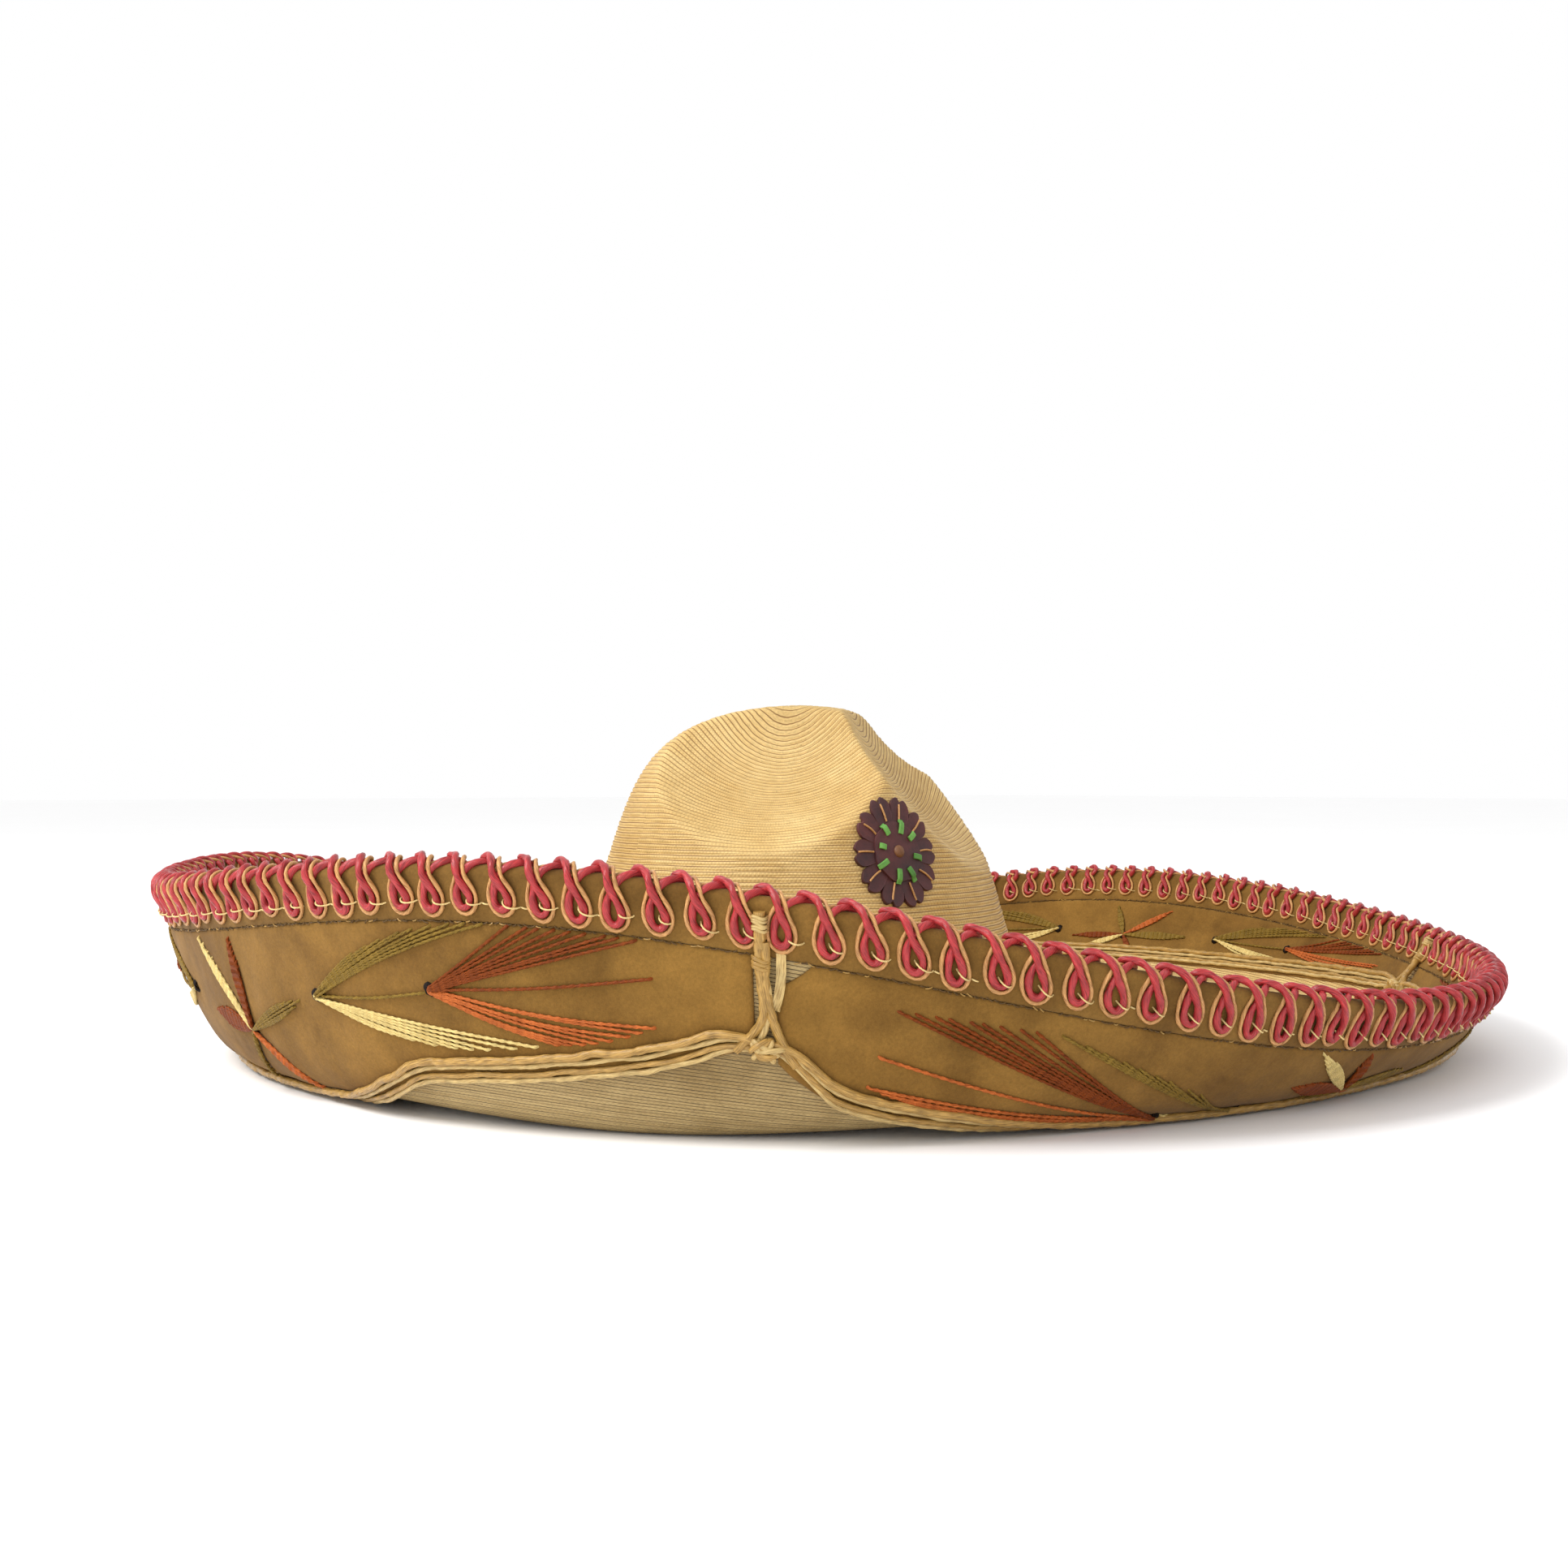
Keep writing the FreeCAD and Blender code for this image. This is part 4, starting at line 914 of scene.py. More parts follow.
def make_panel(face_name, name, middle):
    """One suede panel with rounded, slightly uneven edges."""
    face = FACES[face_name]
    rows = np.concatenate([[0, 0.004, 0.012], np.linspace(0.03, 0.97, 26), [0.985, 0.995, 1.0]])
    ends = np.array([0, 0.0006, 0.0016])
    share = np.concatenate([ends, np.linspace(0.004, 0.996, 260), 1 - ends[::-1]])
    depth = rows[:, None]
    cut = 0.0  # an underside panel's first corner is cut back near the rim
    if face_name == "underside":
        cut = 2.3 * np.clip(1 - depth / 0.24, 0, 1) ** 0.8
    turn = cut - PANEL_HALF + (2 * PANEL_HALF - cut) * share[None, :]
    azimuth = middle + turn
    drop = drop_at(azimuth, face["edge"](turn) * depth)
    wave = ripple(azimuth * ARC_SCALE, drop, 40.0, name_seed(face_name + name))
    crease = ripple(azimuth * ARC_SCALE, drop, 11.0, name_seed(name + face_name))
    width = drop_at(azimuth, face["edge"](turn)) - drop_at(azimuth, 0)
    from_edge = np.minimum(np.minimum(depth, 1 - depth) * width,
                           np.minimum(share, 1 - share)[None, :] * PANEL_LENGTH)
    rounding = np.clip(from_edge / 1.3, 0, 1)
    layer = SUEDE * (0.35 + 0.65 * np.sqrt(rounding)) + rounding * (0.22 * wave + 0.07 * crease)
    top = on_face(face, azimuth, drop, np.maximum(layer, 0.3))
    bottom = on_face(face, azimuth, drop, 0.0)
    patches = shell(top, bottom, rows * float(width.mean()), share * PANEL_LENGTH, SUEDE,
                    flip=face_name == "underside", closed=False)
    node = f"{face_name}_panel_{name}"
    piece = build(f"suede_{face_name}_{name}", patches, [SUEDE_FINISH], [node])


def name_seed(text):
    """A fixed seed for a name, the same in every run."""
    return sum((i + 1) * ord(letter) for i, letter in enumerate(text))


# ---------------------------------------------------------------- gold cords
CORD_LANES = [  # inset from the panel's edge, radius, pale or gold
    (1.3, 0.95, 1), (3.3, 0.95, 0), (6.2, 0.9, 1), (8.6, 1.35, 0),
]
CORD_HALF = 44.7
CORD_GATHER = 4.0


def surface_cord(face, azimuth, drop, lift, radius, seed):
    """A cord lying on a face, with small bends and swellings of its own."""
    distance = azimuth * ARC_SCALE
    drop = drop + 0.3 * ripple(distance, distance * 0, 15.0, seed)
    girth = radius * (1 + 0.1 * ripple(distance, distance * 0, 4.0, seed + 1))
    lift = lift + 0.14 * ripple(distance, distance * 0, 7.0, seed + 2)
    return tube(*face_path(face, azimuth, drop, lift), girth)


def make_border_cords(face_name, name, middle):
    """Four cords along the panel's edge that draw together at its corner knots."""
    face = FACES[face_name]
    patches = []
    turn = np.linspace(-CORD_HALF, CORD_HALF, 420)
    gather = np.clip((np.abs(turn) - CORD_HALF + CORD_GATHER) / CORD_GATHER, 0, 1) ** 1.5
    knot = drop_at(middle + turn, face["edge"](CORNER_TURN)) - 2.5
    for lane, (inset, radius, pale) in enumerate(CORD_LANES):
        spot = drop_at(middle + turn, soft_edge(face, turn)) - inset
        target = knot + 1.2 - 0.28 * inset
        spot = spot * (1 - gather) + target * gather
        seed = name_seed(name) + 10 * lane
        lift = SUEDE + GAP + radius + 0.8 * gather * (lane % 2)
        patches.append((*surface_cord(face, middle + turn, spot, lift, radius, seed), pale))
    node = f"{face_name}_cords_{name}"
    build(f"cords_{face_name}_{name}", patches, [GOLD, PALE_GOLD], [node])


def soft_edge(face, turn):
    """The panel's edge with its corners rounded off, as a cord takes them."""
    spread = np.linspace(-1.2, 1.2, 7)
    return np.mean([face["edge"](turn + s) for s in spread], axis=0)


def stem_azimuth(corner):
    """The gap between two loops that is nearest to a corner."""
    pitch = 360.0 / LOOP_COUNT
    step = round((corner - FIRST_LOOP_AT) / pitch - 0.5)
    return FIRST_LOOP_AT + pitch * (step + 0.5)


# x along the rim from the corner, drop, lift above the suede
STEM_STRANDS = [
    ([(-1.2, 12.0, 1.2), (-1.4, 17.0, 1.4), (-1.2, 22.0, 1.8), (-0.2, 30.0, 2.0), (0.3, 36.0, 2.4),
      (-2.5, 41.0, 1.8), (-6.5, 46.0, 1.5), (-9.5, 49.0, 1.4)], 1.45, 0),
    ([(0.6, 13.0, 1.2), (0.9, 18.0, 1.4), (0.2, 24.0, 1.6), (0.8, 30.0, 1.6), (2.2, 36.0, 1.8),
      (4.2, 42.0, 1.6), (7.0, 47.5, 1.5), (9.5, 51.0, 1.4)], 1.5, 0),
    ([(-0.6, 12.0, 1.0), (-0.6, 20.0, 1.3), (1.6, 28.0, 1.2), (1.4, 36.0, 1.3), (-0.5, 42.0, 2.0),
      (-3.0, 47.0, 1.6)], 1.2, 1),
]
STEM_FOOT = 48.0
STEM_SLEEVE = [(-0.9, 4.0, 1.0), (-1.0, 7.0, 1.2), (-0.9, 10.0, 1.2), (-0.8, 15.0, 0.9)]
KNOT_STRANDS = 15


def corner_drop(face, corner):
    """Drop at which two neighbouring panels' inner edges meet."""
    return float(drop_at(corner, face["edge"](CORNER_TURN)))


def on_corner(face, corner, rows):
    """Points and ways out for (x, drop, lift) rows at a corner of one face."""
    foot = corner_drop(face, corner)
    lean = np.interp(rows[:, 1], [0, STEM_FOOT], [stem_azimuth(corner) - corner, 0])
    azimuth = corner + lean + np.degrees(rows[:, 0] / BRIM_RADIUS)
    drop = rows[:, 1] * (foot - 1.0) / STEM_FOOT
    return face_path(face, azimuth, drop, SUEDE + GAP + rows[:, 2])


def corner_strand(face, corner, rows, radius, pale, sides=9):
    points, normals = on_corner(face, corner, smooth_path(rows, 9))
    run = np.arange(len(points)) * 0.9
    girth = radius * (1 + 0.09 * ripple(run, run * 0, 4.0, int(100 * radius) + int(corner)))
    return (*tube(points, normals, girth, sides), pale)


def corner_wraps(face, corner, x, drop, half, turns, radius, pale, rise):
    """Cord wound round the stem: each turn goes over the strands and tucks in behind."""
    patches = []
    for number in range(turns):
        tilt = random.uniform(-0.5, 0.5)
        t = np.linspace(-1, 1, 14)
        level = drop + number * radius * 1.75
        rows = np.stack([
            x + half * t, level + tilt * t + 0.25 * np.sin(3 * t),
            0.1 + rise * np.sqrt(np.maximum(1 - t ** 4, 0)),
        ], -1)
        patches.append((*tube(*on_corner(face, corner, rows), radius, 8), pale))
    return patches


def make_corner_cords(face_name):
    """Strands from each knot to the rim, a wound sleeve at the top and a flat cord end."""
    face = FACES[face_name]
    patches = []
    for number in range(4):
        corner = face["corner"] + 90.0 * number
        for rows, radius, pale in STEM_STRANDS:
            patches.append(corner_strand(face, corner, rows, radius, pale))
        patches.append(corner_strand(face, corner, STEM_SLEEVE, 1.9, 0, 12))
        patches += corner_wraps(face, corner, -0.9, 5.5, 2.3, 5, 0.55, 1, 2.7)
        patches += corner_wraps(face, corner, -0.8, 18.5, 2.4, 3, 0.7, 0, 2.8)
        drop = np.linspace(16.0, 0.7 * corner_drop(face, corner), 14)
        x = 5.4 - 2.2 * np.clip((drop - 20.0) / 14.0, 0, 1) ** 2
        azimuth = stem_azimuth(corner) + np.degrees(x / BRIM_RADIUS)
        patches.append((*flat_ribbon(face, azimuth, drop, 1.5), 1))
    name = f"{face_name}_corner_cords"
    build(f"stems_{face_name}", patches, [GOLD, PALE_GOLD], [name])


def flat_ribbon(face, azimuth, drop, half_width):
    """A flattened cord end that lies beside the stem."""
    spread = np.degrees(half_width / BRIM_RADIUS)
    side = np.linspace(-1, 1, 7)[None, :]
    layer = SUEDE + 0.5 + 0.5 * side ** 2
    top = on_face(face, azimuth[:, None] + spread * side, drop[:, None], layer + 0.25)
    bottom = on_face(face, azimuth[:, None] + spread * side, drop[:, None], layer - 0.25)
    loop = np.concatenate([top, bottom[:, ::-1]], axis=1)
    girth = np.linspace(0, 4 * half_width, loop.shape[1] + 1)
    flip = face["out"] < 0
    vertices, faces = grid(loop, drop, girth, wrap_columns=True, flip=flip)
    return vertices, faces + caps(len(drop), loop.shape[1], flip)


def make_knots(face_name):
    """Each corner knot is a handful of cord wound over itself."""
    face = FACES[face_name]
    patches = []
    for number in range(4):
        corner = face["corner"] + 90.0 * number
        for strand in range(KNOT_STRANDS):
            spin = math.pi * strand * 0.37 + random.uniform(-0.3, 0.3)
            wide, tall = random.uniform(3.2, 5.2), random.uniform(1.5, 2.8)
            angle = np.linspace(0, 2 * math.pi, 28, endpoint=False)
            x = wide * np.cos(angle) * math.cos(spin) - tall * 0.6 * np.sin(angle) * math.sin(spin)
            y = wide * np.cos(angle) * math.sin(spin) + tall * 0.6 * np.sin(angle) * math.cos(spin)
            x = 0.85 * x + random.uniform(-2.0, 2.0)
            y = 0.62 * y + random.uniform(-1.6, 1.6) + STEM_FOOT - 1.5
            lift = 1.5 + tall * np.sin(angle) + 0.12 * strand
            rows = np.stack([x, y, np.maximum(lift, 0.5)], -1)
            points, normals = on_corner(face, corner, rows)
            normals = normals + 0.5 * (points - points.mean(axis=0))
            patches.append((*tube(points, normals, 0.85, 8, closed=True), strand % 2))
    name = f"{face_name}_knots"
    build(f"knots_{face_name}_wound", patches, [PALE_GOLD, GOLD], [name])


# ---------------------------------------------------------------- embroidery
def mirrored(fans):
    """The same fans turned over the panel's middle line."""
    return [((-s[0], s[1]), ((-a[0], a[1]), (-b[0], b[1])), *rest) for s, (a, b), *rest in fans]


# start, the ends of the line of tips, its bow in depth, colour, threads, sag in millimetres
HIGH_FANS = [
    ((22, 0.28), ((28.2, 0.0), (37.6, 0.01)), 0.0, "rust", 9, 1.0),
    ((22, 0.28), ((38.0, 0.15), (38.1, 0.16)), 0.0, "rust", 1, 3.0),
    ((22, 0.28), ((38.6, 0.34), (30.8, 0.47)), 0.03, "orange", 8, 3.0),
    ((11, 0.33), ((15.0, 0.15), (27.6, 0.0)), -0.045, "olive", 9, -1.0),
    ((11, 0.33), ((16.0, 0.46), (30.2, 0.48)), 0.055, "cream", 9, 1.5),
    ((11.6, 0.33), ((21.6, 0.29), (21.6, 0.30)), 0.0, "olive", 1, 2.0),
]
LOW_FANS = [
    ((-17, 0.80), ((-37.2, 0.14), (-27.6, 0.13)), 0.0, "rust", 9, 1.0),
    ((-17, 0.80), ((-38, 0.38), (-37.9, 0.39)), 0.0, "orange", 1, 2.0),
    ((-17, 0.80), ((-39, 0.54), (-33, 0.71)), 0.0, "orange", 8, 3.0),
    ((-9, 0.84), ((-27, 0.11), (-14, 0.52)), -0.03, "olive", 9, 2.0),
    ((-9.5, 0.84), ((-16.4, 0.81), (-16.4, 0.82)), 0.0, "cream", 2, 1.0),
]
UPPER_FANS = [
    ((11, 0.34), ((15.5, 0.14), (28, 0.02)), -0.04, "olive", 8, -1.0),
    ((11, 0.34), ((16, 0.50), (27, 0.46)), 0.03, "cream", 7, 1.5),
    ((22, 0.29), ((29, 0.01), (38, 0.02)), 0.0, "rust", 8, 1.0),
    ((22, 0.29), ((38.4, 0.16), (33, 0.42)), 0.02, "orange", 7, 2.0),
    ((11.6, 0.34), ((21.6, 0.29), (21.6, 0.30)), 0.0, "olive", 1, 1.0),
]
# start, tip, half width in millimetres, colour, threads
LOWER_LEAVES = [
    ((0.5, 0.53), (-5.4, 0.03), 3.6, "cream", 9),
    ((0.5, 0.53), (0.6, 0.04), 4.4, "rust", 17),
    ((0.5, 0.53), (-6.2, 0.44), 5.6, "rust", 19),
    ((0.5, 0.53), (8.6, 0.36), 4.6, "olive", 7),
    ((0.5, 0.53), (6.0, 0.90), 2.8, "orange", 9),
    ((0.5, 0.53), (-2.6, 0.87), 1.6, "olive", 7),
]
UPPER_LEAVES = [
    ((2, 0.40), (9, 0.42), 2.4, "rust", 7),
    ((2, 0.40), (3.5, 0.05), 2.6, "olive", 8),
    ((2, 0.40), (-4, 0.08), 2.4, "orange", 7),
    ((2, 0.40), (-7, 0.36), 3.4, "olive", 8),
    ((2, 0.40), (0.5, 0.62), 2.2, "rust", 8),
    ((2, 0.40), (7, 0.56), 2.4, "cream", 7),
]
THREAD_RADIUS = 0.58
THREAD_PITCH = 2.9


def sew(face, azimuths, drops, colour, height=0.0, radius=THREAD_RADIUS):
    """One two-ply thread that dips into the suede at both ends."""
    distance = np.concatenate([[0], np.cumsum(np.hypot(
        np.diff(azimuths) * ARC_SCALE, np.diff(drops)))])
    count = max(int(distance[-1] / 0.42), 8)
    even = np.linspace(0, distance[-1], count)
    azimuth = np.interp(even, distance, azimuths)
    drop = np.interp(even, distance, drops)
    ends = np.minimum(even, distance[-1] - even)
    lift = SUEDE + 0.15 + radius * 0.8 - np.clip(1 - ends / 1.2, 0, 1) ** 2 * 0.9
    lift = lift + height * np.clip(1 - even / 14.0, 0, 1)
    thread = tube(*face_path(face, azimuth, drop, lift), radius, 7, ply_pitch=THREAD_PITCH)
    return (*thread, THREAD_NAMES.index(colour))


def sewn_line(face, middle, start, tip, colour, sag, height):
    """A thread from (turn, depth) to (turn, depth) that bows a little on the way."""
    share = np.linspace(0, 1, 24)
    azimuth = middle + start[0] + (tip[0] - start[0]) * share
    first = float(drop_at(middle + start[0], start[1]))
    last = float(drop_at(middle + tip[0], tip[1]))
    drop = first + (last - first) * share + sag * np.sin(math.pi * share)
    return sew(face, azimuth, drop, colour, height)


def sewn_fan(face, middle, start, tips, bow_in, colour, threads, sag):
    patches = []
    for number in range(threads):
        share = (number + 0.5) / threads
        share = min(max(share + random.uniform(-0.2, 0.2) / threads, 0), 1)
        tip = [a + (b - a) * share for a, b in zip(*tips)]
        tip[1] += bow_in * math.sin(math.pi * share)
        pull = (share - 0.5) * 0.5
        origin = (start[0] + 0.12 * pull, start[1] + 0.03 * pull)
        height = random.uniform(0.1, 1.3)
        bow = sag * random.uniform(0.6, 1.2)
        patches.append(sewn_line(face, middle, origin, tip, colour, bow, height))
    return patches


def sewn_leaf(face, middle, start, tip, half_width, colour, threads):
    """Threads that leave the middle line in turn and end on a pointed oval."""
    patches = []
    origin = (middle + start[0], float(drop_at(middle + start[0], start[1])))
    end = (middle + tip[0], float(drop_at(middle + tip[0], tip[1])))
    across = (end[0] - origin[0]) * ARC_SCALE
    down = end[1] - origin[1]
    length = math.hypot(across, down)
    for number in range(threads):
        share = (number + 0.5) / threads
        side = 1 if number % 2 else -1
        reach = 1.0 - 0.42 * abs(share - 0.5) * 2 * random.uniform(0.8, 1.1)
        offset = half_width * (2 * share - 1) * random.uniform(0.85, 1.1)
        t = np.linspace(0, 1, 12)
        bulge = offset * np.sin(math.pi * np.clip(t * 0.62, 0, 1)) * reach
        x = across * t * reach + bulge * down / length
        y = down * t * reach - bulge * across / length
        height = 0.25 * side + 0.5
        patches.append(sew(face, origin[0] + x / ARC_SCALE, origin[1] + y, colour, height))
    return patches


def sewn_knot(face, azimuth, drop):
    """Black thread wound tightly across a fan's narrow end."""
    patches = []
    for number in range(5):
        offset = (number - 2) * 0.62
        t = np.linspace(-1, 1, 10)
        x = offset + 0.4 * t
        y = 2.3 * t * (1 - 0.12 * abs(number - 2))
        patches.append(sew(face, azimuth + x / ARC_SCALE, drop + y, "black", 0.3, 0.5))
    return patches


def motifs_on(face_name, panel):
    """The side panels of the underside carry longer fans that start lower down."""
    if face_name == "topside":
        return UPPER_FANS, UPPER_LEAVES
    return (LOW_FANS if panel in ("right", "left") else HIGH_FANS), LOWER_LEAVES


def make_embroidery(face_name, name, middle):
    face = FACES[face_name]
    fans, leaves = motifs_on(face_name, name)
    patches = []
    for fan in fans + mirrored(fans):
        patches += sewn_fan(face, middle, *fan)
    for leaf in leaves:
        patches += sewn_leaf(face, middle, *leaf)
    starts = {fan[0] for fan in fans + mirrored(fans) if fan[4] > 2} | {leaves[0][0]}
    for turn, depth in sorted(starts):
        spot = float(drop_at(middle + turn, depth))
        patches += sewn_knot(face, middle + turn, spot)
    node = f"{face_name}_embroidery_{name}"
    build(f"threads_{face_name}_{name}", patches, list(THREADS.values()),
          [node])


# ---------------------------------------------------------------- sweatband
BAND_COLUMNS = 240
BAND_THICK = 1.6
BAND_INSET = STRAW * 1.08 + 0.3
BAND_STITCHES = 150


def in_crown(angle, height, depth):
    """Points on ovals inside the crown's wall, a depth further in than the band's outer face."""
    taper = 1 - height / CROWN_TAPER
    x = (CROWN_SIDE * taper - BAND_INSET - depth) * np.sin(angle)
    y = -(CROWN_FRONT * taper - BAND_INSET - depth) * np.cos(angle)
    return np.stack([x, y, np.broadcast_to(height, x.shape)], -1) + CROWN_SHIFT


def make_sweatband():
    """A leather band inside the crown with a row of stitches along each edge."""
    bottom, top = SWEATBAND
    angle = circle(BAND_COLUMNS)[:-1]
    height = np.linspace(bottom, top, 14)[:, None]
    bulge = 0.5 * np.sin(math.pi * (height - bottom) / (top - bottom))
    wrinkle = ripple(angle[None, :] * 100, height, 18.0, 21)
    outer = in_crown(angle, height, 0.0)
    inner = in_crown(angle, height, BAND_THICK + 0.3 * bulge + 0.12 * wrinkle)
    loop = np.concatenate([outer, inner[::-1]])
    marks = np.linspace(0, 60, len(loop) + 1)
    girth = circle(BAND_COLUMNS) * 95.0
    patches = [grid(loop, marks, girth, wrap_rows=True, wrap_columns=True)]
    proud = np.array([0.0, 0.35, 0.5, 0.35, 0.0])
    upright = np.tile([0.0, 0.0, 1.0], (len(proud), 1))
    for level in (bottom + 2.2, top - 2.2):
        for number in range(BAND_STITCHES):
            middle = 2 * math.pi * number / BAND_STITCHES
            spot = middle + np.linspace(-0.011, 0.011, len(proud))
            points = in_crown(spot, level, BAND_THICK + proud)
            patches.append((*tube(points, upright, 0.3, 6), 1))
    build("sweatband_strip", patches, [BAND, CREAM], ["sweatband"])


# ---------------------------------------------------------------- rosettes
PETALS = 10
PETAL_STRETCH = 1.08  # the flower is a little taller than it is wide
DISC_RADIUS = 12.5
DISC_STRETCH = 1.05
LACES = 8
SHORT_LACE = 6
LACE_STRAND = 0.62
STUD_RADIUS = 2.7
STUD_COLUMNS = 28


def on_crown(side, x, y, lift):
    """Points on the crown round a rosette's middle: x along the crown, y up it."""
    turn = math.radians(ROSETTE_AZIMUTH)
    reach = 0.9984 * np.hypot(CROWN_SIDE * math.sin(turn), CROWN_FRONT * math.cos(turn))
    azimuth = side * ROSETTE_AZIMUTH + np.degrees(np.asarray(x) / reach)
    return crown_face(azimuth, ROSETTE_HEIGHT + 0.96 * np.asarray(y), np.asarray(lift, float))


def flower_outline(angle):
    """Radius of the flower's edge: heart-shaped petals with a slit between them."""
    turn = (angle * PETALS / (2 * math.pi)) % 1.0
    bulge = np.abs(np.sin(math.pi * turn)) ** 0.38
    dip = np.exp(-((turn - 0.5) / 0.09) ** 2)
    return ROSETTE_RADIUS * (0.70 + 0.30 * bulge - 0.10 * dip)


def disc_outline(angle):
    return DISC_RADIUS + 0.35 * np.cos(angle * 7 + 1)


def leather_sheet(side, outline, low, high, cup, rings, columns, stretch):
    """A round leather piece bent to the crown, its edge given by outline(angle)."""
    angle = circle(columns)[:-1]
    share = np.concatenate([[0.02], np.linspace(0.08, 0.97, rings), [0.99, 1.0]])[:, None]
    radius = outline(angle)[None, :] * share
    x = radius * np.sin(angle)
    y = radius * np.cos(angle) * stretch
    lift = high + cup * share ** 3 + 0.15 * ripple(x, y, 9.0, int(10 * high))
    lift = lift - 0.35 * (share > 0.995)
    top = on_crown(side, x, y, lift)
    bottom = on_crown(side, x, y, lift - (high - low))
    loop = np.concatenate([top, bottom[::-1]])
    marks = np.linspace(0, 40, len(loop))
    vertices, faces = grid(loop, marks, circle(columns) * 20.0, wrap_columns=True)
    return vertices, faces + caps(len(loop), columns)


def spoke(side, angle, reach, aside, stretch, lift, radius, sides):
    """A cord that runs outwards from the rosette's middle."""
    x = reach * math.sin(angle) + aside * math.cos(angle)
    y = (reach * math.cos(angle) - aside * math.sin(angle)) * stretch
    points = on_crown(side, x, y, lift)
    return tube(points, on_crown(side, x, y, lift + 1.0) - points, radius, sides)


def arch(count):
    return np.sin(np.linspace(0, math.pi, count))


def make_lacing(name, side):
    """Green laces that come up through the disc and go down beyond its edge. One is short."""
    patches = []
    for number in range(LACES):
        angle = 2 * math.pi * (number + random.uniform(-0.12, 0.12)) / LACES + 0.25
        start, stop = random.uniform(7.2, 8.4), random.uniform(12.6, 14.2)
        if number == SHORT_LACE:
            stop = 10.5
        reach = np.linspace(start, stop, 9)
        lift = 3.3 + 0.35 * arch(9) - 0.9 * (reach > DISC_RADIUS - 0.2)
        for aside in (-LACE_STRAND, 0.0, LACE_STRAND):
            patches.append(
                spoke(side, angle, reach, aside, DISC_STRETCH, lift, LACE_STRAND, 6))
    build(f"{name}_green_lacing", patches, [GREEN], [f"{name}_lacing"])


def make_stitches(name, side):
    """One tan stitch along each petal."""
    patches = []
    for number in range(PETALS):
        angle = 2 * math.pi * (number + 0.5) / PETALS + random.uniform(-0.03, 0.03)
        reach = np.linspace(12.9, ROSETTE_RADIUS * random.uniform(0.86, 0.93), 12)
        bow = 0.4 * random.uniform(-1, 1) * arch(12)
        lift = 2.1 + 0.25 * arch(12)
        patches.append(spoke(side, angle, reach, bow, PETAL_STRETCH, lift, 0.42, 7))
    build(f"{name}_tan_stitches", patches, [TAN], [f"{name}_stitches"])


def make_stud(name, side):
    """A domed leather button in the middle."""
    turn = np.linspace(0, math.pi / 2, 9)[:-1]
    radius = STUD_RADIUS * np.append(1.0, np.cos(turn))[:, None]
    lift = np.append(2.6, 3.05 + 1.5 * np.sin(turn))[:, None]
    girth = circle(STUD_COLUMNS)
    angle = girth[:-1]
    dome = on_crown(side, radius * np.sin(angle), radius * np.cos(angle), lift + 0 * angle)
    marks = np.arange(len(dome)) * 0.5
    vertices, faces = grid(dome, marks, girth * STUD_RADIUS, wrap_columns=True, flip=True)
    button = (vertices, faces + caps(len(dome), STUD_COLUMNS, flip=True))
    build(f"{name}_button", [button], [STUD], [f"{name}_stud"])


def make_rosette(name, side):
    """Maroon flower, smaller disc, green lacing through the disc, tan stitches and a stud."""
    flower = leather_sheet(side, flower_outline, 0.1, 1.5, 0.7, 16, 400, PETAL_STRETCH)
    build(f"{name}_petals", [flower], [MAROON], [f"{name}_flower"])
    disc = leather_sheet(side, disc_outline, 1.7, 3.0, -0.2, 10, 160, DISC_STRETCH)
    build(f"{name}_centre", [disc], [MAROON], [f"{name}_disc"])
    make_lacing(name, side)
    make_stitches(name, side)
    make_stud(name, side)


# ---------------------------------------------------------------- floor, light and camera
FLOOR_REACH = 12.0
CAMERA_AZIMUTH = math.radians(50.0)
CAMERA_DISTANCE = 0.812
CAMERA_HEIGHT = 0.1122
CAMERA_SHIFT = -0.0294
LENS = 40.45


def add_object(name, data):
    item = bpy.data.objects.new(name, data)
    bpy.context.scene.collection.objects.link(item)
    return item


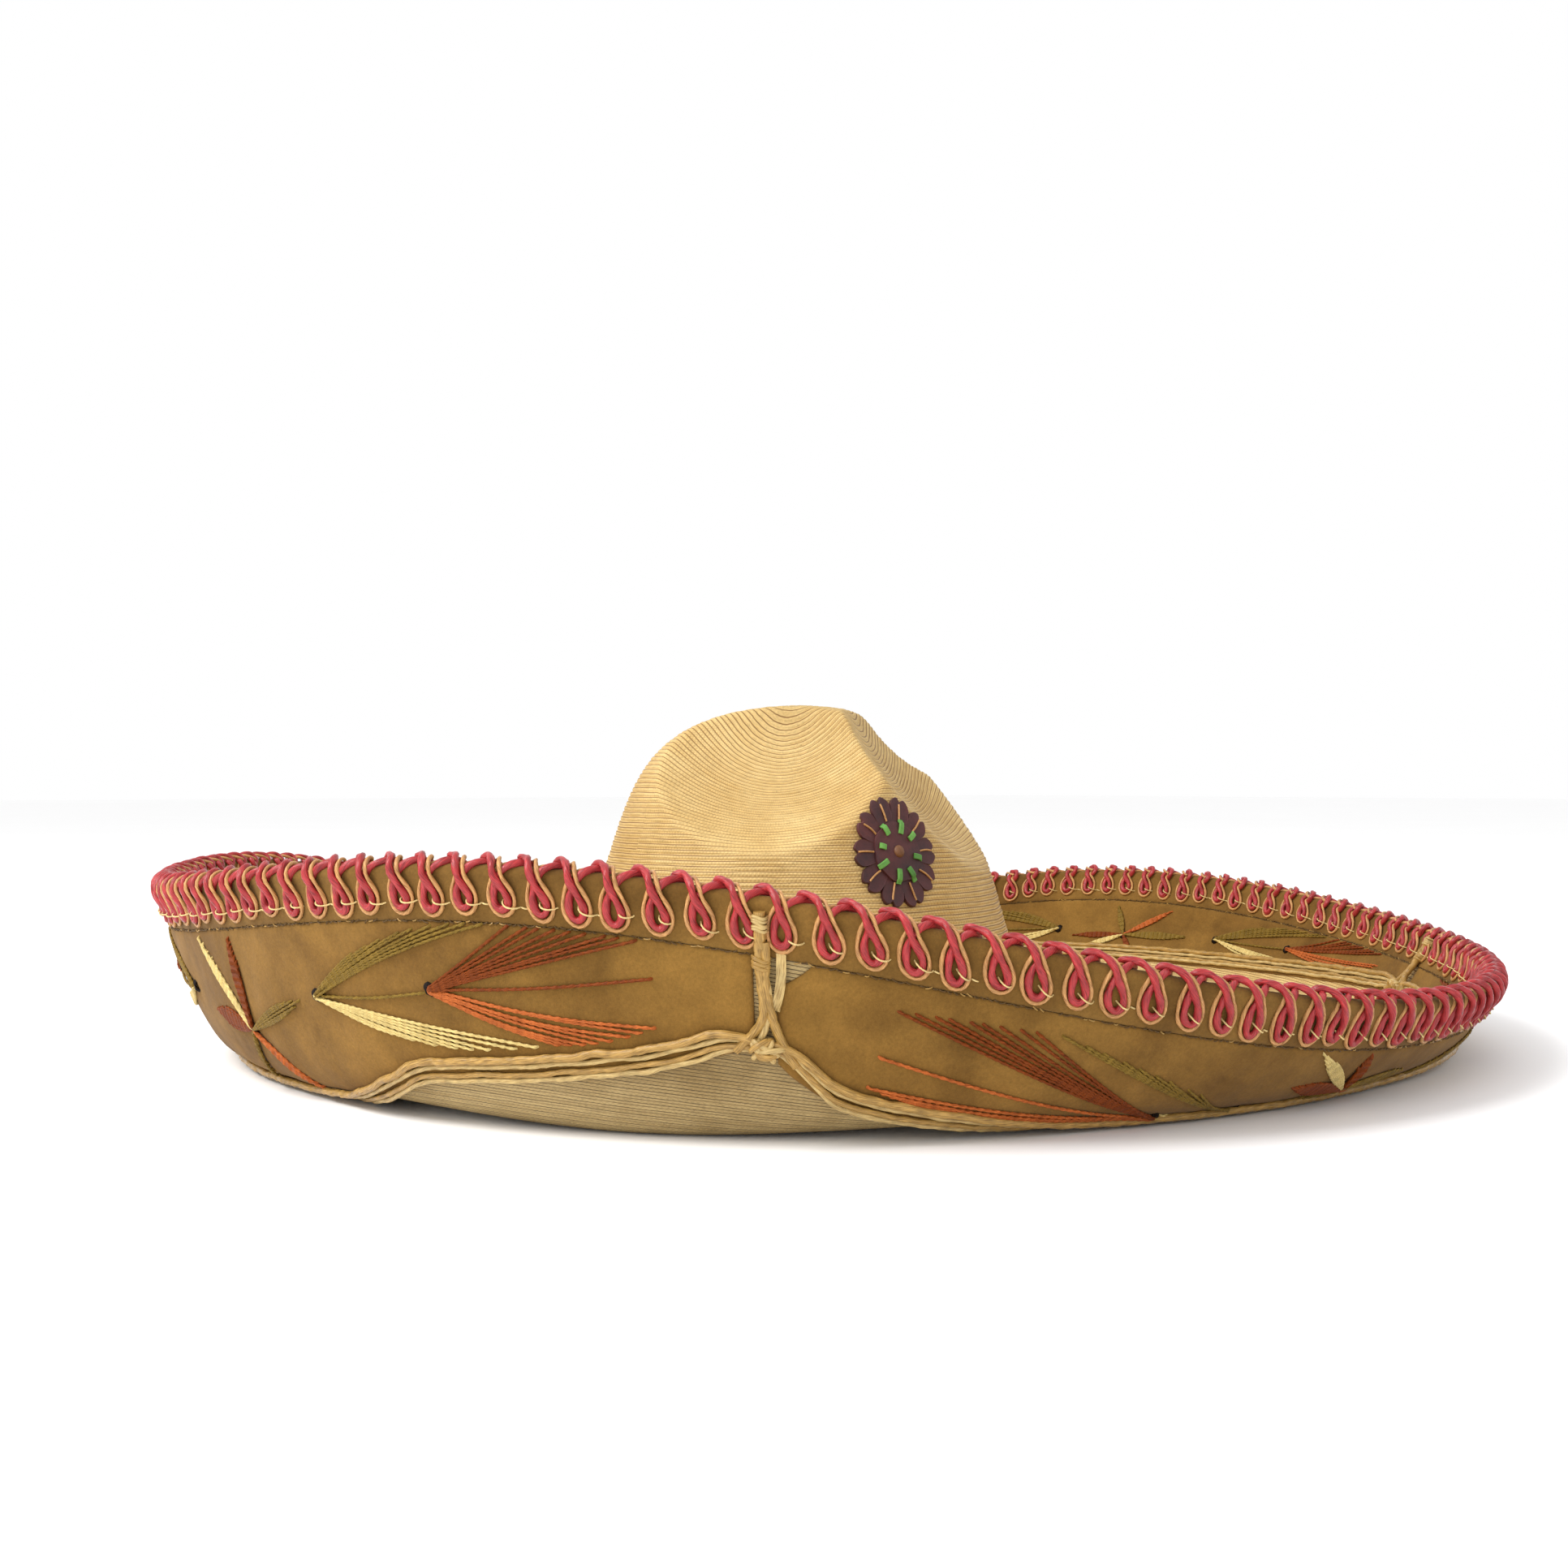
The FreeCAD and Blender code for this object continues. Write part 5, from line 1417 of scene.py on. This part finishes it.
def make_stage():
    """A pale floor and an even white sky."""
    mesh = bpy.data.meshes.new("floor")
    signs = ((-1, -1), (1, -1), (1, 1), (-1, 1))
    corners = [(FLOOR_REACH * x, FLOOR_REACH * y, 0) for x, y in signs]
    mesh.from_pydata(corners, [], [(0, 1, 2, 3)])
    floor = add_object("floor", mesh)
    f = Finish("pale_floor", roughness=0.9, Specular_IOR_Level=0.1)
    grain = f.noise(f.place(), 3.0, 2.0)
    mesh.materials.append(f.finish(f.ramp(grain, (0.3, (0.965,) * 3), (0.7, (0.975,) * 3))))
    world = bpy.data.worlds.new("studio")
    world.use_nodes = True
    background = world.node_tree.nodes["Background"]
    background.inputs[0].default_value = (1.0, 1.0, 1.0, 1.0)
    background.inputs[1].default_value = 1.0
    bpy.context.scene.world = world


def add_area(name, place, target, size, energy):
    data = bpy.data.lights.new(name, "AREA")
    data.shape = "SQUARE"
    data.size = size
    data.energy = energy
    lamp = add_object(name, data)
    lamp.location = place
    lamp.rotation_euler = (Vector(target) - Vector(place)).to_track_quat("-Z", "Y").to_euler()


def make_camera():
    """Level camera, a little above the rim. Returns the ways it looks and its right."""
    toward = Vector((-math.sin(CAMERA_AZIMUTH), math.cos(CAMERA_AZIMUTH), 0))
    right = Vector((math.cos(CAMERA_AZIMUTH), math.sin(CAMERA_AZIMUTH), 0))
    data = bpy.data.cameras.new("camera")
    data.sensor_width = 36.0
    data.lens = LENS
    data.shift_x = CAMERA_SHIFT
    camera = add_object("camera", data)
    camera.location = -toward * CAMERA_DISTANCE
    camera.location.z = CAMERA_HEIGHT
    camera.rotation_euler = toward.to_track_quat("-Z", "Y").to_euler()
    bpy.context.scene.camera = camera
    return toward, right


def make_lights(toward, right):
    """A soft key from the upper left and a weak light from the front."""
    centre = Vector((0, 0, 0.06))
    key = -toward * 0.7 - right * 1.2 + Vector((0, 0, 1.4))
    add_area("key", key, centre, 0.8, 30.0)
    front = -toward * 1.6 - right * 0.5 + Vector((0, 0, 0.55))
    add_area("front", front, centre, 1.0, 5.0)
    bpy.context.scene.view_settings.view_transform = "Standard"


# ---------------------------------------------------------------- build
make_lights(*make_camera())
make_stage()
make_crown()
make_brim()
make_binding()
make_edging()
make_tacks()
make_seam()
for face_name, brim_face in FACES.items():
    for panel_name, panel_middle in panel_middles(brim_face):
        make_panel(face_name, panel_name, panel_middle)
        make_border_cords(face_name, panel_name, panel_middle)
        make_embroidery(face_name, panel_name, panel_middle)
    make_corner_cords(face_name)
    make_knots(face_name)
make_sweatband()
make_rosette("rosette_left", 1)
make_rosette("rosette_right", -1)
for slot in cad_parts["edge_wire"].material_slots:
    slot.material = WIRE
